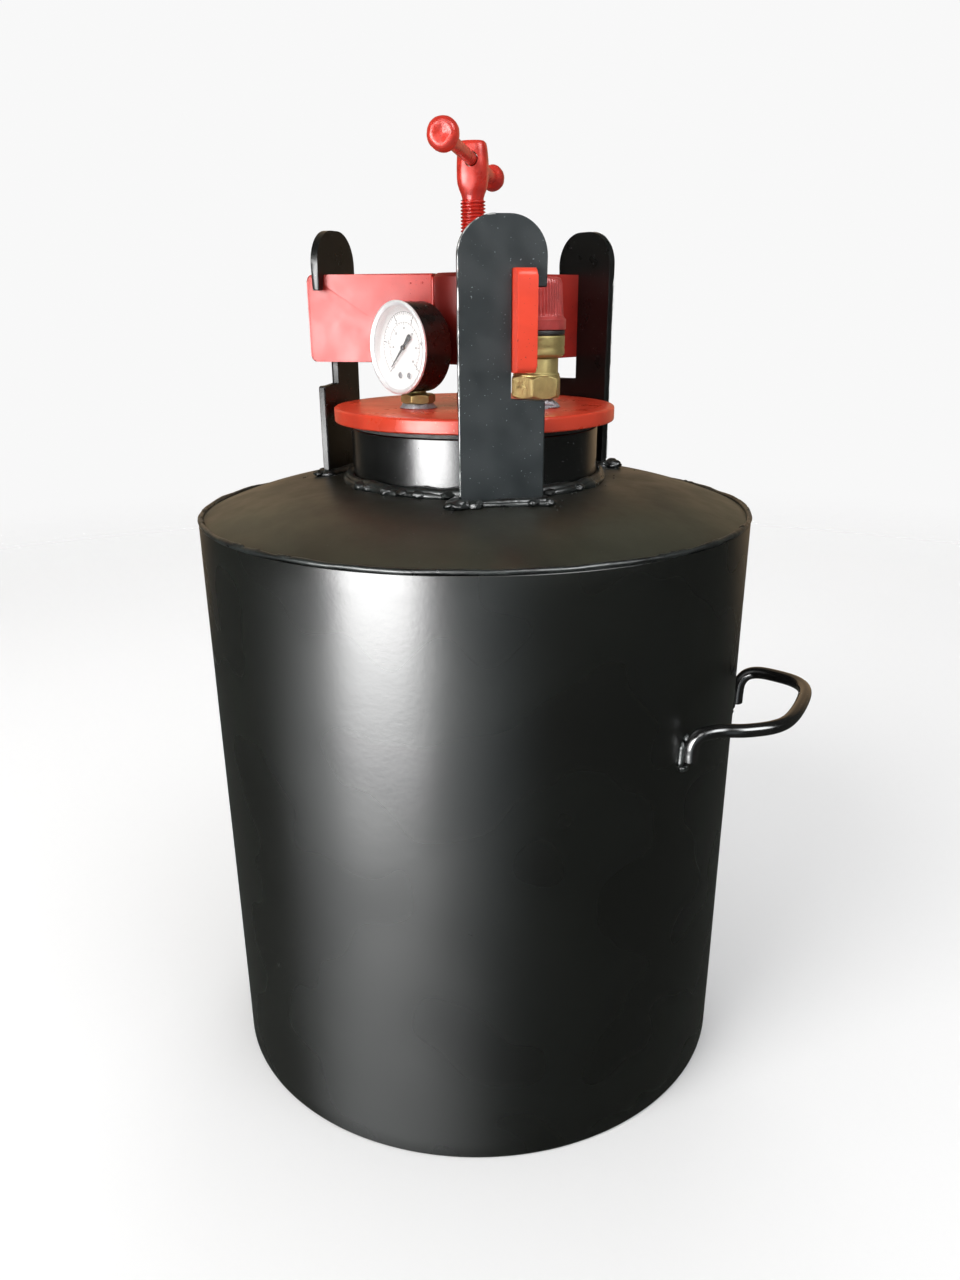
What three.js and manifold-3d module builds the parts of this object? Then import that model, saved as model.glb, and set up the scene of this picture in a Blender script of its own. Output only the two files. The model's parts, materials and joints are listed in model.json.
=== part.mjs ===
// Screw-clamped steel pressure canner: a welded cylindrical vessel with a domed top and a short
// neck, closed by a flat lid that a three-armed yoke and a centre screw press onto its gasket.
// Millimetres, +Z up. The origin is the centre of the flat bottom; the carry handles lie along +/-X.
import * as THREE from 'three';
import { mergeVertices } from 'three/addons/utils/BufferGeometryUtils.js';
import Module from 'manifold-3d';

const wasm = await Module();
wasm.setup();

// ---------------------------------------------------------------- driving dimensions
const BODY_R = 190;            // vessel outside radius
const WALL_T = 3;              // vessel wall
const BOTTOM_T = 5;            // bottom plate
const BODY_H = 408.6;          // height of the cylindrical wall
const DOME_RISE = 21.7;        // rise of the top plate from the rim to the posts
const DOME_T = 4;
const NECK_R = 84;             // neck pipe outside radius (168 mm pipe)
const NECK_T = 5;
const NECK_TOP = 466;
const LID_R = 95;
const LID_Z0 = 469.8;
const LID_Z1 = 479.1;
const GASKET_R0 = 73;          // gasket inside radius
const POST_ANGLES = [-52.8, 67.2, 187.2];   // hook posts, degrees from +X
const POST_IN = 100.5;         // inner face of a post plate from the axis
const POST_T = 5;
const POST_S0 = -24.3;         // post edges, measured sideways from the post's radius
const POST_S1 = 26.7;
const POST_Z0 = 430.75;
const POST_TOP = 589;
const POST_ROUND = 21.5;
const SLOT_S = 5.6;            // inner edge of the L slot
const SLOT_Z0 = 490.5;
const SLOT_Z1 = 562.0;         // top of the pocket the arm is pulled into
const TIP_S = 20.2;            // inner edge of the hook's tip
const TIP_Z = 551.6;           // lower end of the hook's tip
const ARM_OFFSET = 7.0;        // the arms sit this many degrees round from their posts
const ARM_T = 12;
const ARM_Z0 = 506.0;
const ARM_Z1 = 561.6;
const ARM_R1 = 115;
const ARM_ROUND = 4;
const HUB_R = 26;
const SCREW_R = 8.0;           // M16 clamp screw
const SCREW_Z0 = 488.4;
const SCREW_Z1 = 605.5;
const HEAD_TOP = 637.2;
const BAR_Z = 626.5;           // tommy bar height
const BAR_R = 3.75;
const BAR_ANGLE = -69.2;       // direction of its nearer end
const BAR_NEAR = 108;          // knob centres from the screw's axis
const BAR_FAR = 98.5;
const GAUGE_POS = [-21.7, -37.2];
const GAUGE_FACING = -109;     // direction the dial faces, degrees from +X
const GAUGE_Z = 517;
const GAUGE_R = 28.5;
const VALVE_POS = [46.2, 0.4];
const HANDLE_Z = 290.3;
const HANDLE_BAR_R = 4.5;
const HANDLE_ANGLES = { carry_handle_right: 3, carry_handle_left: 177 };
const GAP = 0.3;

const rad = (d) => (d * Math.PI) / 180;

// ---------------------------------------------------------------- materials
const mat = (color, roughness, metalness, extra = {}) =>
  new THREE.MeshStandardMaterial({ color, roughness, metalness, ...extra });
const blackPaint = () => mat(0x15171a, 0.38, 0.1);
const redPaint = () => mat(0xc0392b, 0.45, 0.05);
const brass = () => mat(0xb79b4a, 0.35, 0.9);
const steel = () => mat(0x9a9c9f, 0.35, 0.9);
const sealPaste = () => mat(0xa4a8ac, 0.6, 0.3);

// ---------------------------------------------------------------- geometry helpers
// Shared vertices merged, empty triangles dropped, faces turned outwards.
function clean(geometry) {
  const g = geometry.clone();
  for (const name of Object.keys(g.attributes)) if (name !== 'position') g.deleteAttribute(name);
  const m = mergeVertices(g, 1e-4);
  const p = m.attributes.position;
  const src = m.index.array;
  const tri = [];
  const a = new THREE.Vector3(), b = new THREE.Vector3(), c = new THREE.Vector3();
  let volume = 0;
  for (let i = 0; i < src.length; i += 3) {
    const [u, v, w] = [src[i], src[i + 1], src[i + 2]];
    if (u === v || v === w || u === w) continue;
    a.fromBufferAttribute(p, u); b.fromBufferAttribute(p, v); c.fromBufferAttribute(p, w);
    volume += a.dot(b.clone().cross(c)) / 6;
    tri.push(u, v, w);
  }
  if (volume < 0) for (let i = 0; i < tri.length; i += 3) [tri[i], tri[i + 1]] = [tri[i + 1], tri[i]];
  const out = new THREE.BufferGeometry();
  out.setAttribute('position', new THREE.BufferAttribute(new Float32Array(p.array), 3));
  out.setIndex(tri);
  return out;
}

function solid(geometry) {
  const g = clean(geometry);
  return new wasm.Manifold(new wasm.Mesh({
    numProp: 3,
    vertProperties: new Float32Array(g.attributes.position.array),
    triVerts: new Uint32Array(g.index.array),
  }));
}

function geometryOf(manifold) {
  const m = manifold.getMesh();
  const n = m.numProp;
  const pos = new Float32Array((m.vertProperties.length / n) * 3);
  for (let i = 0; i < pos.length / 3; i++) {
    for (let k = 0; k < 3; k++) pos[3 * i + k] = m.vertProperties[n * i + k];
  }
  const g = new THREE.BufferGeometry();
  g.setAttribute('position', new THREE.BufferAttribute(pos, 3));
  g.setIndex(Array.from(m.triVerts));
  return g;
}

const cut = (g, ...tools) => geometryOf(tools.reduce((m, t) => m.subtract(solid(t)), solid(g)));
const join = (g, ...others) => geometryOf(others.reduce((m, t) => m.add(solid(t)), solid(g)));

// A turned piece about +Z from a closed (r, z) profile.
function turned(profile, segments = 64) {
  const pts = profile.map(([r, z]) => new THREE.Vector2(Math.max(r, 0), z));
  const open = pts[0].x > 1e-6 || pts[pts.length - 1].x > 1e-6;
  if (open) pts.push(pts[0].clone());
  return clean(new THREE.LatheGeometry(pts, segments).rotateX(Math.PI / 2));
}

// An upright cylinder between two heights.
const rod = (r, z0, z1, segments = 32, x = 0, y = 0) =>
  new THREE.CylinderGeometry(r, r, z1 - z0, segments).rotateX(Math.PI / 2).translate(x, y, (z0 + z1) / 2);

// An upright hexagonal prism; a flat faces the given direction.
function hexagon(flats, z0, z1, facing = 0, chamfer = 0) {
  const r = flats / Math.sqrt(3);
  const prism = new THREE.CylinderGeometry(r, r, z1 - z0, 6).rotateX(Math.PI / 2)
    .rotateZ(rad(facing)).translate(0, 0, (z0 + z1) / 2);
  if (!chamfer) return clean(prism);
  const c = chamfer;
  const bound = turned([[0, z0 - 1], [r - c, z0 - 1], [r - c, z0], [r + 0.5, z0 + c * 0.75],
    [r + 0.5, z1 - c * 0.75], [r - c, z1], [r - c, z1 + 1], [0, z1 + 1]], 24);
  return geometryOf(solid(prism).intersect(solid(bound)));
}

// A plate drawn in (sideways, up) and thickened outwards along the radius at `angle`.
function plateAt(shape, thickness, angle, radius) {
  const g = new THREE.ExtrudeGeometry(shape, { depth: thickness, bevelEnabled: false, curveSegments: 6 });
  const t = rad(angle);
  const m = new THREE.Matrix4().makeBasis(
    new THREE.Vector3(-Math.sin(t), Math.cos(t), 0),
    new THREE.Vector3(0, 0, 1),
    new THREE.Vector3(Math.cos(t), Math.sin(t), 0),
  );
  m.setPosition(radius * Math.cos(t), radius * Math.sin(t), 0);
  return clean(g.applyMatrix4(m));
}

function roundBarAlong(points, radius, steps, sides) {
  const curve = new THREE.CatmullRomCurve3(points, false, 'centripetal');
  const section = new THREE.Shape();
  for (let i = 0; i < sides; i++) {
    const a = (2 * Math.PI * i) / sides;
    const x = radius * Math.cos(a), y = radius * Math.sin(a);
    if (i === 0) section.moveTo(x, y); else section.lineTo(x, y);
  }
  section.closePath();
  return clean(new THREE.ExtrudeGeometry(section, { steps, extrudePath: curve, curveSegments: sides }));
}

function roundHole(x, y, r, n) {
  const h = new THREE.Path();
  for (let i = 0; i < n; i++) {
    const a = (-2 * Math.PI * i) / n;
    if (i === 0) h.moveTo(x + r * Math.cos(a), y + r * Math.sin(a)); else h.lineTo(x + r * Math.cos(a), y + r * Math.sin(a));
  }
  h.closePath();
  return h;
}

const part = new THREE.Group();
part.name = 'pressure_canner';
function add(name, geometry, material) {
  const flat = clean(geometry).toNonIndexed();
  flat.computeVertexNormals();
  const mesh = new THREE.Mesh(flat, material);
  mesh.name = name;
  part.add(mesh);
  return mesh;
}

// ---------------------------------------------------------------- vessel
// Height of the domed top plate's upper face at radius r.
const domeZ = (r) => {
  const u = (BODY_R - r) / 90;
  return BODY_H + DOME_RISE * (0.2 * u + 0.8 * (1 - (1 - u) ** 2));
};
add('body_shell', turned([[BODY_R - WALL_T, 0], [BODY_R, 0], [BODY_R, BODY_H], [BODY_R - WALL_T, BODY_H]], 72), blackPaint());
add('bottom_plate', turned([[0, 0], [BODY_R - WALL_T - GAP, 0], [BODY_R - WALL_T - GAP, BOTTOM_T], [0, BOTTOM_T]], 72), blackPaint());
{
  const radii = [NECK_R + GAP, 108, 134, 157, 174, BODY_R - WALL_T - GAP];
  const top = radii.map((r) => [r, domeZ(r)]);
  const under = [...radii].reverse().map((r) => [r, domeZ(r) - DOME_T]);
  add('top_dome', turned([...top, ...under], 60), blackPaint());
}
add('neck_collar', turned([[NECK_R - NECK_T, 424], [NECK_R, 424], [NECK_R, NECK_TOP], [NECK_R - NECK_T, NECK_TOP]], 48), blackPaint());
add('rim_weld', turned([[187.2, 408.95], [190.4, 408.95], [191.0, 410.6], [189.0, 412.6], [184.9, 411.8], [187.0, 410.65]], 60), blackPaint());
add('neck_weld', turned([[NECK_R + GAP, 431.0], [91.0, 431.0], [88.4, 434.6], [NECK_R + GAP, 437.4]], 48), blackPaint());

// Hook posts: flat plates with a rounded top and an L-shaped slot that opens to one side.
function postShape() {
  const s = new THREE.Shape();
  const r = POST_ROUND;
  s.moveTo(POST_S0, POST_Z0);
  s.lineTo(POST_S1, POST_Z0);
  s.lineTo(POST_S1, SLOT_Z0 - 1.5);
  s.lineTo(POST_S1 - 1.5, SLOT_Z0);
  s.lineTo(SLOT_S, SLOT_Z0);
  s.lineTo(SLOT_S, SLOT_Z1 - 0.5);
  s.lineTo(SLOT_S + 0.5, SLOT_Z1);
  s.lineTo(TIP_S - 1.0, SLOT_Z1);
  s.lineTo(TIP_S, SLOT_Z1 - 1.0);
  s.lineTo(TIP_S, TIP_Z);
  s.lineTo(POST_S1, TIP_Z);
  s.lineTo(POST_S1, POST_TOP - r);
  s.absarc(POST_S1 - r, POST_TOP - r, r, 0, Math.PI / 2, false);
  s.lineTo(POST_S0 + r, POST_TOP);
  s.absarc(POST_S0 + r, POST_TOP - r, r, Math.PI / 2, Math.PI, false);
  s.lineTo(POST_S0, POST_Z0);
  return s;
}
// A weld bead frames the foot of each post.
function footRing(outer, height, angle) {
  const s = new THREE.Shape();
  const x0 = POST_S0 - GAP - outer, x1 = POST_S1 + GAP + outer;
  const y0 = POST_IN - GAP - outer, y1 = POST_IN + POST_T + GAP + outer;
  const c = outer * 0.7;
  s.moveTo(x0 + c, y0); s.lineTo(x1 - c, y0); s.lineTo(x1, y0 + c); s.lineTo(x1, y1 - c);
  s.lineTo(x1 - c, y1); s.lineTo(x0 + c, y1); s.lineTo(x0, y1 - c); s.lineTo(x0, y0 + c); s.closePath();
  const h = new THREE.Path();
  h.moveTo(POST_S0 - GAP, POST_IN - GAP); h.lineTo(POST_S0 - GAP, POST_IN + POST_T + GAP);
  h.lineTo(POST_S1 + GAP, POST_IN + POST_T + GAP); h.lineTo(POST_S1 + GAP, POST_IN - GAP); h.closePath();
  s.holes.push(h);
  const g = new THREE.ExtrudeGeometry(s, { depth: height, bevelEnabled: false });
  const t = rad(angle);
  const m = new THREE.Matrix4().makeBasis(
    new THREE.Vector3(Math.sin(t), -Math.cos(t), 0),
    new THREE.Vector3(Math.cos(t), Math.sin(t), 0),
    new THREE.Vector3(0, 0, 1),
  );
  // the sideways axis is mirrored so that it runs the same way as in the plate
  const flip = new THREE.Matrix4().makeScale(-1, 1, 1);
  g.applyMatrix4(flip).applyMatrix4(m).translate(0, 0, POST_Z0 + 0.2);
  return clean(g);
}
POST_ANGLES.forEach((angle, i) => {
  add(`hook_post_${i + 1}`, plateAt(postShape(), POST_T, angle, POST_IN), blackPaint());
  add(`post_weld_${i + 1}`, footRing(4.2, 4.2, angle), blackPaint());
});

// Carry handles: one bent round bar each, its ends turned down and welded to the wall.
const HANDLE_PATH = [
  [-69, 0, -14], [-69, 0, -9], [-68.8, 0.6, -2.6], [-67, 4, 2.9], [-63.5, 9.5, 4.9], [-58.5, 17, 5.6], [-52, 30, 5.6],
  [-40, 43.5, 5.6], [-24, 50.5, 5.4], [5, 53, 5.1], [36, 51.2, 4.6], [54, 42, 3.5], [66, 26, 1.6], [71, 13, 0.2],
  [71, 5, -2.7], [69.4, 1, -8.4], [69, 0, -16], [69, 0, -25],
];
const FOOT_V = Math.sqrt((BODY_R + HANDLE_BAR_R + GAP + 0.05) ** 2 - 69 ** 2);
const FOOT_Z = { '-1': -14, 1: -25 };   // the front foot of each handle is shorter than the back one
const handlePoint = (angle, [along, v, z]) => {
  const t = rad(angle);
  const u = angle > 90 ? -along : along;
  const out = FOOT_V + v;
  return new THREE.Vector3(out * Math.cos(t) - u * Math.sin(t), out * Math.sin(t) + u * Math.cos(t), HANDLE_Z + z);
};
let weldNo = 0;
for (const [name, angle] of Object.entries(HANDLE_ANGLES)) {
  const bar = roundBarAlong(HANDLE_PATH.map((p) => handlePoint(angle, p)), HANDLE_BAR_R, 34, 8);
  add(name, bar, blackPaint());
  for (const side of [-1, 1]) {
    const foot = handlePoint(angle, [side * 69, 0, FOOT_Z[side]]);
    const dir = Math.atan2(foot.y, foot.x);
    const blob = new THREE.SphereGeometry(1, 10, 7).scale(4.4, 8.8, 13).rotateZ(dir)
      .translate((BODY_R + 1.6) * Math.cos(dir), (BODY_R + 1.6) * Math.sin(dir), foot.z + 2);
    const stub = rod(HANDLE_BAR_R + GAP + 0.2, foot.z - GAP, foot.z + 30, 10, foot.x, foot.y);
    const wall = rod(BODY_R + GAP, 200, 360, 144);
    weldNo += 1;
    add(`handle_weld_${weldNo}`, cut(blob, stub, wall), blackPaint());
  }
}

// ---------------------------------------------------------------- lid
const [gx, gy] = GAUGE_POS;
const [vx, vy] = VALVE_POS;
{
  const disc = turned([[0, LID_Z0], [LID_R - 1.2, LID_Z0], [LID_R, LID_Z0 + 1.2], [LID_R, LID_Z1 - 1.4],
    [LID_R - 1.4, LID_Z1], [0, LID_Z1]], 60);
  add('lid_plate', cut(disc, rod(7.0, LID_Z0 - 1, LID_Z1 + 1, 18, gx, gy), rod(9.4, LID_Z0 - 1, LID_Z1 + 1, 22, vx, vy)), redPaint());
}
add('lid_gasket', turned([[GASKET_R0, 466.3], [NECK_R - 0.4, 466.3], [NECK_R - 0.4, 469.5], [GASKET_R0, 469.5]], 40),
  mat(0xb5b0a6, 0.8, 0));
add('gasket_ring', turned([[69.2, 459], [GASKET_R0 - GAP - 0.5, 459], [GASKET_R0 - GAP - 0.5, 469.5], [69.2, 469.5]], 40), steel());
add('thrust_pad', cut(turned([[0, LID_Z1 + GAP], [12, LID_Z1 + GAP], [12, 486.2], [10.8, 487.4], [0, 487.4]], 28),
  rod(5.7, 483.5, 490, 16)), redPaint());

// ---------------------------------------------------------------- pressure gauge
{
  const t = rad(GAUGE_FACING);
  const place = new THREE.Matrix4().makeBasis(
    new THREE.Vector3(-Math.sin(t), Math.cos(t), 0),   // to the right when looking at the dial
    new THREE.Vector3(0, 0, 1),
    new THREE.Vector3(Math.cos(t), Math.sin(t), 0),    // outwards through the glass
  );
  place.setPosition(gx, gy, GAUGE_Z);
  const at = (g) => clean(g.clone().applyMatrix4(place));
  const R = GAUGE_R - 0.5;
  // thin cup, open to the front, with a hole below for the socket's neck
  const cup = turned([[0, -7], [R - 1, -7], [R, -6], [R, 14.4], [R - 1.2, 14.4], [R - 1.2, -5.8], [0, -5.8]], 36);
  const hole = new THREE.CylinderGeometry(5.75, 5.75, 12, 16).translate(0, -R, 0);
  add('gauge_case', at(cut(cup, hole)), mat(0x141414, 0.45, 0.1));
  add('gauge_bezel', at(turned([[25.4, 14.7], [GAUGE_R, 14.7], [GAUGE_R, 16.4], [GAUGE_R - 0.8, 17.1], [25.4, 17.1]], 36)),
    mat(0xd9dcdf, 0.25, 0.8));
  add('gauge_lens', at(turned([[0, 14.9], [25.1, 14.9], [25.1, 16.1], [0, 16.1]], 36)),
    mat(0xf2f6f8, 0.05, 0, { transparent: true, opacity: 0.25 }));
  add('gauge_dial', at(cut(turned([[0, 9.4], [26.3, 9.4], [26.3, 10.2], [0, 10.2]], 36),
    rod(1.5, 8, 12, 12), rod(1.5, 8, 12, 12, -4.6, -17), rod(1.5, 8, 12, 12, 4.6, -17))), mat(0xf6f6f4, 0.5, 0));
  [-4.6, 4.6].forEach((x, i) => add(`dial_screw_${i + 1}`,
    at(turned([[0, 7.6], [1.1, 7.6], [1.1, 10.5], [1.9, 10.5], [1.9, 11.1], [0, 11.1]], 10).translate(x, -17, 0)), steel()));
  // spindle with the pinion, and the pointer pressed on its end
  add('pointer_spindle', at(turned([[0, 1.2], [0.9, 1.2], [0.9, 3.2], [1.7, 3.2], [1.7, 5.2], [0.9, 5.2], [0.9, 12.2], [0, 12.2]], 10)), brass());
  const p = new THREE.Shape();
  p.moveTo(-2.0, 0); p.lineTo(-1.2, -1.8); p.lineTo(-0.25, -17.5); p.lineTo(0.25, -17.5); p.lineTo(1.2, -1.8); p.lineTo(2.0, 0);
  p.lineTo(1.4, 1.6); p.lineTo(2.6, 7.6); p.lineTo(0, 9.2); p.lineTo(-2.6, 7.6); p.lineTo(-1.4, 1.6);
  p.closePath();
  p.holes.push(roundHole(0, 0, 1.0, 10));
  const pointer = new THREE.ExtrudeGeometry(p, { depth: 0.6, bevelEnabled: false, curveSegments: 8 })
    .rotateZ(rad(-45)).translate(0, 0, 11.4);
  add('gauge_pointer', at(pointer), mat(0x151515, 0.5, 0));
  // toothed sector that drives the pinion, turning on its own pivot below the spindle
  const sec = new THREE.Shape();
  const SR = 10.0;
  sec.moveTo(-1.6, -2.2); sec.lineTo(1.6, -2.2);
  const a0 = rad(38), a1 = rad(96);
  sec.lineTo(SR * Math.cos(a0), SR * Math.sin(a0));
  for (let i = 1; i <= 10; i++) { const a = a0 + ((a1 - a0) * i) / 10; sec.lineTo(SR * Math.cos(a), SR * Math.sin(a)); }
  sec.closePath();
  sec.holes.push(roundHole(0, 0, 1.05, 10));
  add('sector_gear', at(new THREE.ExtrudeGeometry(sec, { depth: 1.4, bevelEnabled: false, curveSegments: 8 })
    .translate(0, -12.0, 3.5)), brass());
  // movement plate that carries the two pivots
  const plate = new THREE.Shape();
  plate.moveTo(-7, -15.5); plate.lineTo(7, -15.5); plate.lineTo(7, 5); plate.lineTo(-7, 5); plate.closePath();
  const plateG = new THREE.ExtrudeGeometry(plate, { depth: 1.2, bevelEnabled: false }).translate(0, 0, 0.9);
  const post = rod(0.75, 1.5, 6.2, 12, 0, -12.0);
  add('movement_plate', at(join(cut(plateG, rod(1.2, 0, 3, 12)), post)), brass());
  // C-shaped Bourdon tube round the movement
  const tube = [];
  for (let i = 0; i <= 20; i++) { const a = rad(-62 + (i * 250) / 20); tube.push(new THREE.Vector3(20.5 * Math.cos(a), 20.5 * Math.sin(a), 1.2)); }
  const curve = new THREE.CatmullRomCurve3(tube);
  const oval = new THREE.Shape();
  [[1.3, 2.6], [-1.3, 2.6], [-1.8, 1.6], [-1.8, -1.6], [-1.3, -2.6], [1.3, -2.6], [1.8, -1.6], [1.8, 1.6]]
    .forEach(([x, y], i) => (i ? oval.lineTo(x, y) : oval.moveTo(x, y)));
  oval.closePath();
  add('bourdon_tube', at(new THREE.ExtrudeGeometry(oval, { steps: 20, extrudePath: curve })), brass());
}
{
  const hex = hexagon(20, 482.3, 488.15, -61 + 10, 0.9);
  const shank = rod(6.5, 466.5, 482.6, 18);
  const neck = rod(5.3, 488, 496, 18);
  const bore = rod(2.0, 465, 497, 8);
  add('gauge_socket', cut(join(hex, shank, neck), bore).translate(gx, gy, 0), brass());
  add('gauge_sealant', turned([[6.9, 479.4], [13, 479.4], [12.2, 480.8], [10.6, 482.0], [6.9, 482.0]], 18).translate(gx, gy, 0), sealPaste());
}

// ---------------------------------------------------------------- safety valve
{
  const hexBody = hexagon(30, 485.3, 499.6, -61 + 19.6, 1.2);
  const neck = rod(14.2, 499, 510.5, 28);
  const nipple = rod(8.9, 465.8, 486, 20);
  const outDir = rad(118);       // the outlet points to the back of the canner
  const boss = new THREE.CylinderGeometry(11.6, 11.6, 19, 24).rotateZ(-Math.PI / 2).translate(9.5, 0, 0)
    .rotateZ(outDir).translate(0, 0, 498.2);
  const outBore = new THREE.CylinderGeometry(7.0, 7.0, 11, 16).rotateZ(-Math.PI / 2).translate(15, 0, 0)
    .rotateZ(outDir).translate(0, 0, 498.2);
  const inlet = rod(5.0, 465, 502, 14);
  const chamber = rod(11.4, 500.6, 512, 24);
  add('valve_body', cut(join(hexBody, neck, nipple, boss), inlet, chamber, outBore).translate(vx, vy, 0), brass());
}
add('valve_sealant', turned([[9.35, 479.4], [15.2, 479.4], [14.0, 481.0], [11.8, 483.4], [9.35, 484.0]], 20).translate(vx, vy, 0), sealPaste());
add('valve_bonnet', turned([[12.4, 510.85], [16.6, 510.85], [18.1, 512.4], [18.1, 523.9], [3.1, 523.9], [3.1, 521.6], [12.4, 521.6]], 28)
  .translate(vx, vy, 0), brass());
add('valve_ring', turned([[3.4, 524.2], [18.1, 524.2], [18.1, 527.0], [3.4, 527.0]], 28).translate(vx, vy, 0), mat(0x101010, 0.6, 0));
add('valve_knob', turned([[10.4, 527.35], [18.6, 527.35], [18.6, 534.2], [16.7, 534.3], [15.4, 555.5], [12.6, 558.2],
  [0, 558.6], [0, 552.6], [10.4, 552.4]], 28).translate(vx, vy, 0), mat(0xa02c24, 0.4, 0));
add('valve_stem', turned([[0, 500.95], [8.6, 500.95], [8.6, 503.4], [5.2, 504.6], [2.6, 504.6], [2.6, 541.0], [5.0, 541.0], [5.0, 545.0], [0, 545.0]], 16)
  .translate(vx, vy, 0), steel());
{
  const turns = 4.5, z0 = 506.2, z1 = 520.2, pts = [];
  const n = 40;
  for (let i = 0; i <= n; i++) {
    const a = (turns * 2 * Math.PI * i) / n;
    pts.push(new THREE.Vector3(7.4 * Math.cos(a), 7.4 * Math.sin(a), z0 + ((z1 - z0) * i) / n));
  }
  add('valve_spring', roundBarAlong(pts, 0.9, 40, 5).translate(vx, vy, 0), steel());
}

// ---------------------------------------------------------------- yoke
add('yoke_hub', turned([[SCREW_R + 0.4, ARM_Z0], [HUB_R - 2, ARM_Z0], [HUB_R, ARM_Z0 + 2], [HUB_R, ARM_Z1 - 2.4], [HUB_R - 2.4, ARM_Z1],
  [SCREW_R + 0.4, ARM_Z1]], 36), redPaint());
POST_ANGLES.forEach((postAngle, i) => {
  const s = new THREE.Shape();
  const r = ARM_ROUND, x0 = HUB_R + 0.35, x1 = ARM_R1;
  s.moveTo(x0, ARM_Z0); s.lineTo(x1 - r, ARM_Z0);
  s.absarc(x1 - r, ARM_Z0 + r, r, -Math.PI / 2, 0, false);
  s.lineTo(x1, ARM_Z1 - r);
  s.absarc(x1 - r, ARM_Z1 - r, r, 0, Math.PI / 2, false);
  s.lineTo(x0, ARM_Z1); s.closePath();
  const g = new THREE.ExtrudeGeometry(s, { depth: ARM_T, bevelEnabled: false, curveSegments: 5 })
    .rotateX(Math.PI / 2).translate(0, ARM_T / 2, 0).rotateZ(rad(postAngle + ARM_OFFSET));
  add(`yoke_arm_${i + 1}`, g, redPaint());
});

// ---------------------------------------------------------------- clamp screw and tommy bar
{
  const body = turned([[0, 483.9], [3.6, 483.9], [5.2, 485.4], [5.2, SCREW_Z0], [SCREW_R - 1, SCREW_Z0], [SCREW_R, SCREW_Z0 + 1],
    [SCREW_R, SCREW_Z1], [10.3, 612], [10.7, 619], [10.4, 632], [8.6, HEAD_TOP], [0, HEAD_TOP]], 20);
  const hole = new THREE.CylinderGeometry(BAR_R + 0.7, BAR_R + 0.7, 40, 14).rotateZ(-Math.PI / 2)
    .rotateZ(rad(BAR_ANGLE)).translate(0, 0, BAR_Z);
  add('clamp_screw', cut(body, hole), redPaint());
}
{
  // one round bar upset into a knob at each end
  const knob = (c, r, s) => [[r * 0.62, c - s * r * 0.82], [r * 0.92, c - s * r * 0.45], [r, c], [r * 0.93, c + s * r * 0.42], [r * 0.66, c + s * r * 0.72]];
  const near = knob(BAR_NEAR, 8.4, 1), far = knob(-BAR_FAR, 8.7, -1).reverse();
  const profile = [[0, -BAR_FAR - 8.7 * 0.8], ...far, [BAR_R, -BAR_FAR + 8.2], [BAR_R, BAR_NEAR - 8.0], ...near, [0, BAR_NEAR + 8.4 * 0.8]];
  const g = turned(profile, 14).rotateY(Math.PI / 2).rotateZ(rad(BAR_ANGLE)).translate(0, 0, BAR_Z);
  add('tommy_bar', g, redPaint());
}

export default part;
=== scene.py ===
"""Looks of the screw-clamped pressure canner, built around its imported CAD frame.
Lengths in the helpers below are millimetres in the row frame; make() turns them into metres."""
import math
import json
import random

import bpy
import bmesh
from mathutils import Vector, Matrix
from mathutils import noise as mn


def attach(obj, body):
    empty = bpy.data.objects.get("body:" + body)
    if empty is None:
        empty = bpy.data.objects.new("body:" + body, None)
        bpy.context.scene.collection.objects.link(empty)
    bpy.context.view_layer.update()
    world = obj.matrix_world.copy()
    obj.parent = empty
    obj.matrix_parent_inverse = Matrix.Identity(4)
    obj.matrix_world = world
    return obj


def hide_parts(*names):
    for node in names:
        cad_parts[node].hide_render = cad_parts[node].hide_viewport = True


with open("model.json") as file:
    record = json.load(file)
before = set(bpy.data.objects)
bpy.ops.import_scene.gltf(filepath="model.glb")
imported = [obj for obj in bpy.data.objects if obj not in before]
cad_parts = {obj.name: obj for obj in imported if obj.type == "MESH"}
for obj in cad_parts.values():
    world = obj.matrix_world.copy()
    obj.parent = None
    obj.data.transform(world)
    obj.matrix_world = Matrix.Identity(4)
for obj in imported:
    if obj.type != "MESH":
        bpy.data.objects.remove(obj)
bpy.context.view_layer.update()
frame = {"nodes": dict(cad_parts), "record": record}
NODES = frame["nodes"]


scene = bpy.context.scene
MM = 0.001
PI = math.pi
rad = math.radians

# ------------------------------------------------------------------ dimensions (as in the CAD)
BODY_R, BODY_H = 190.0, 408.6
NECK_R, NECK_TOP = 84.0, 466.0
LID_R, LID_Z0, LID_Z1 = 95.0, 469.8, 479.1
POST_ANGLES = (-52.8, 67.2, 187.2)
POST_IN, POST_T = 100.5, 5.0
S0, S1, POST_Z0, POST_TOP = -24.3, 26.7, 430.75, 589.0
ARM_Z0, ARM_Z1, HUB_R = 506.0, 561.6, 26.0
BAR_Z, BAR_ANGLE = 626.5, -69.2
GAUGE = (-21.7, -37.2, 517.0)
VALVE = (46.2, 0.4)
HANDLE_Z, HANDLE_R = 290.3, 4.5


def dome_z(r):
    u = (BODY_R - r) / 90.0
    return BODY_H + 21.7 * (0.2 * u + 0.8 * (1 - (1 - u) ** 2))


def ns(x, y, z, seed=0.0):
    """Smooth noise from -1 to 1."""
    return mn.noise(Vector((x + 31.7 * seed, y - 17.3 * seed, z + 5.1 * seed)))


# ------------------------------------------------------------------ materials
def new_mat(name):
    m = bpy.data.materials.new(name)
    m.use_nodes = True
    nt = m.node_tree
    nt.nodes.clear()
    out = nt.nodes.new("ShaderNodeOutputMaterial")
    b = nt.nodes.new("ShaderNodeBsdfPrincipled")
    nt.links.new(b.outputs["BSDF"], out.inputs["Surface"])
    co = nt.nodes.new("ShaderNodeTexCoord")
    return m, nt, b, co.outputs["Object"]


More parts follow.
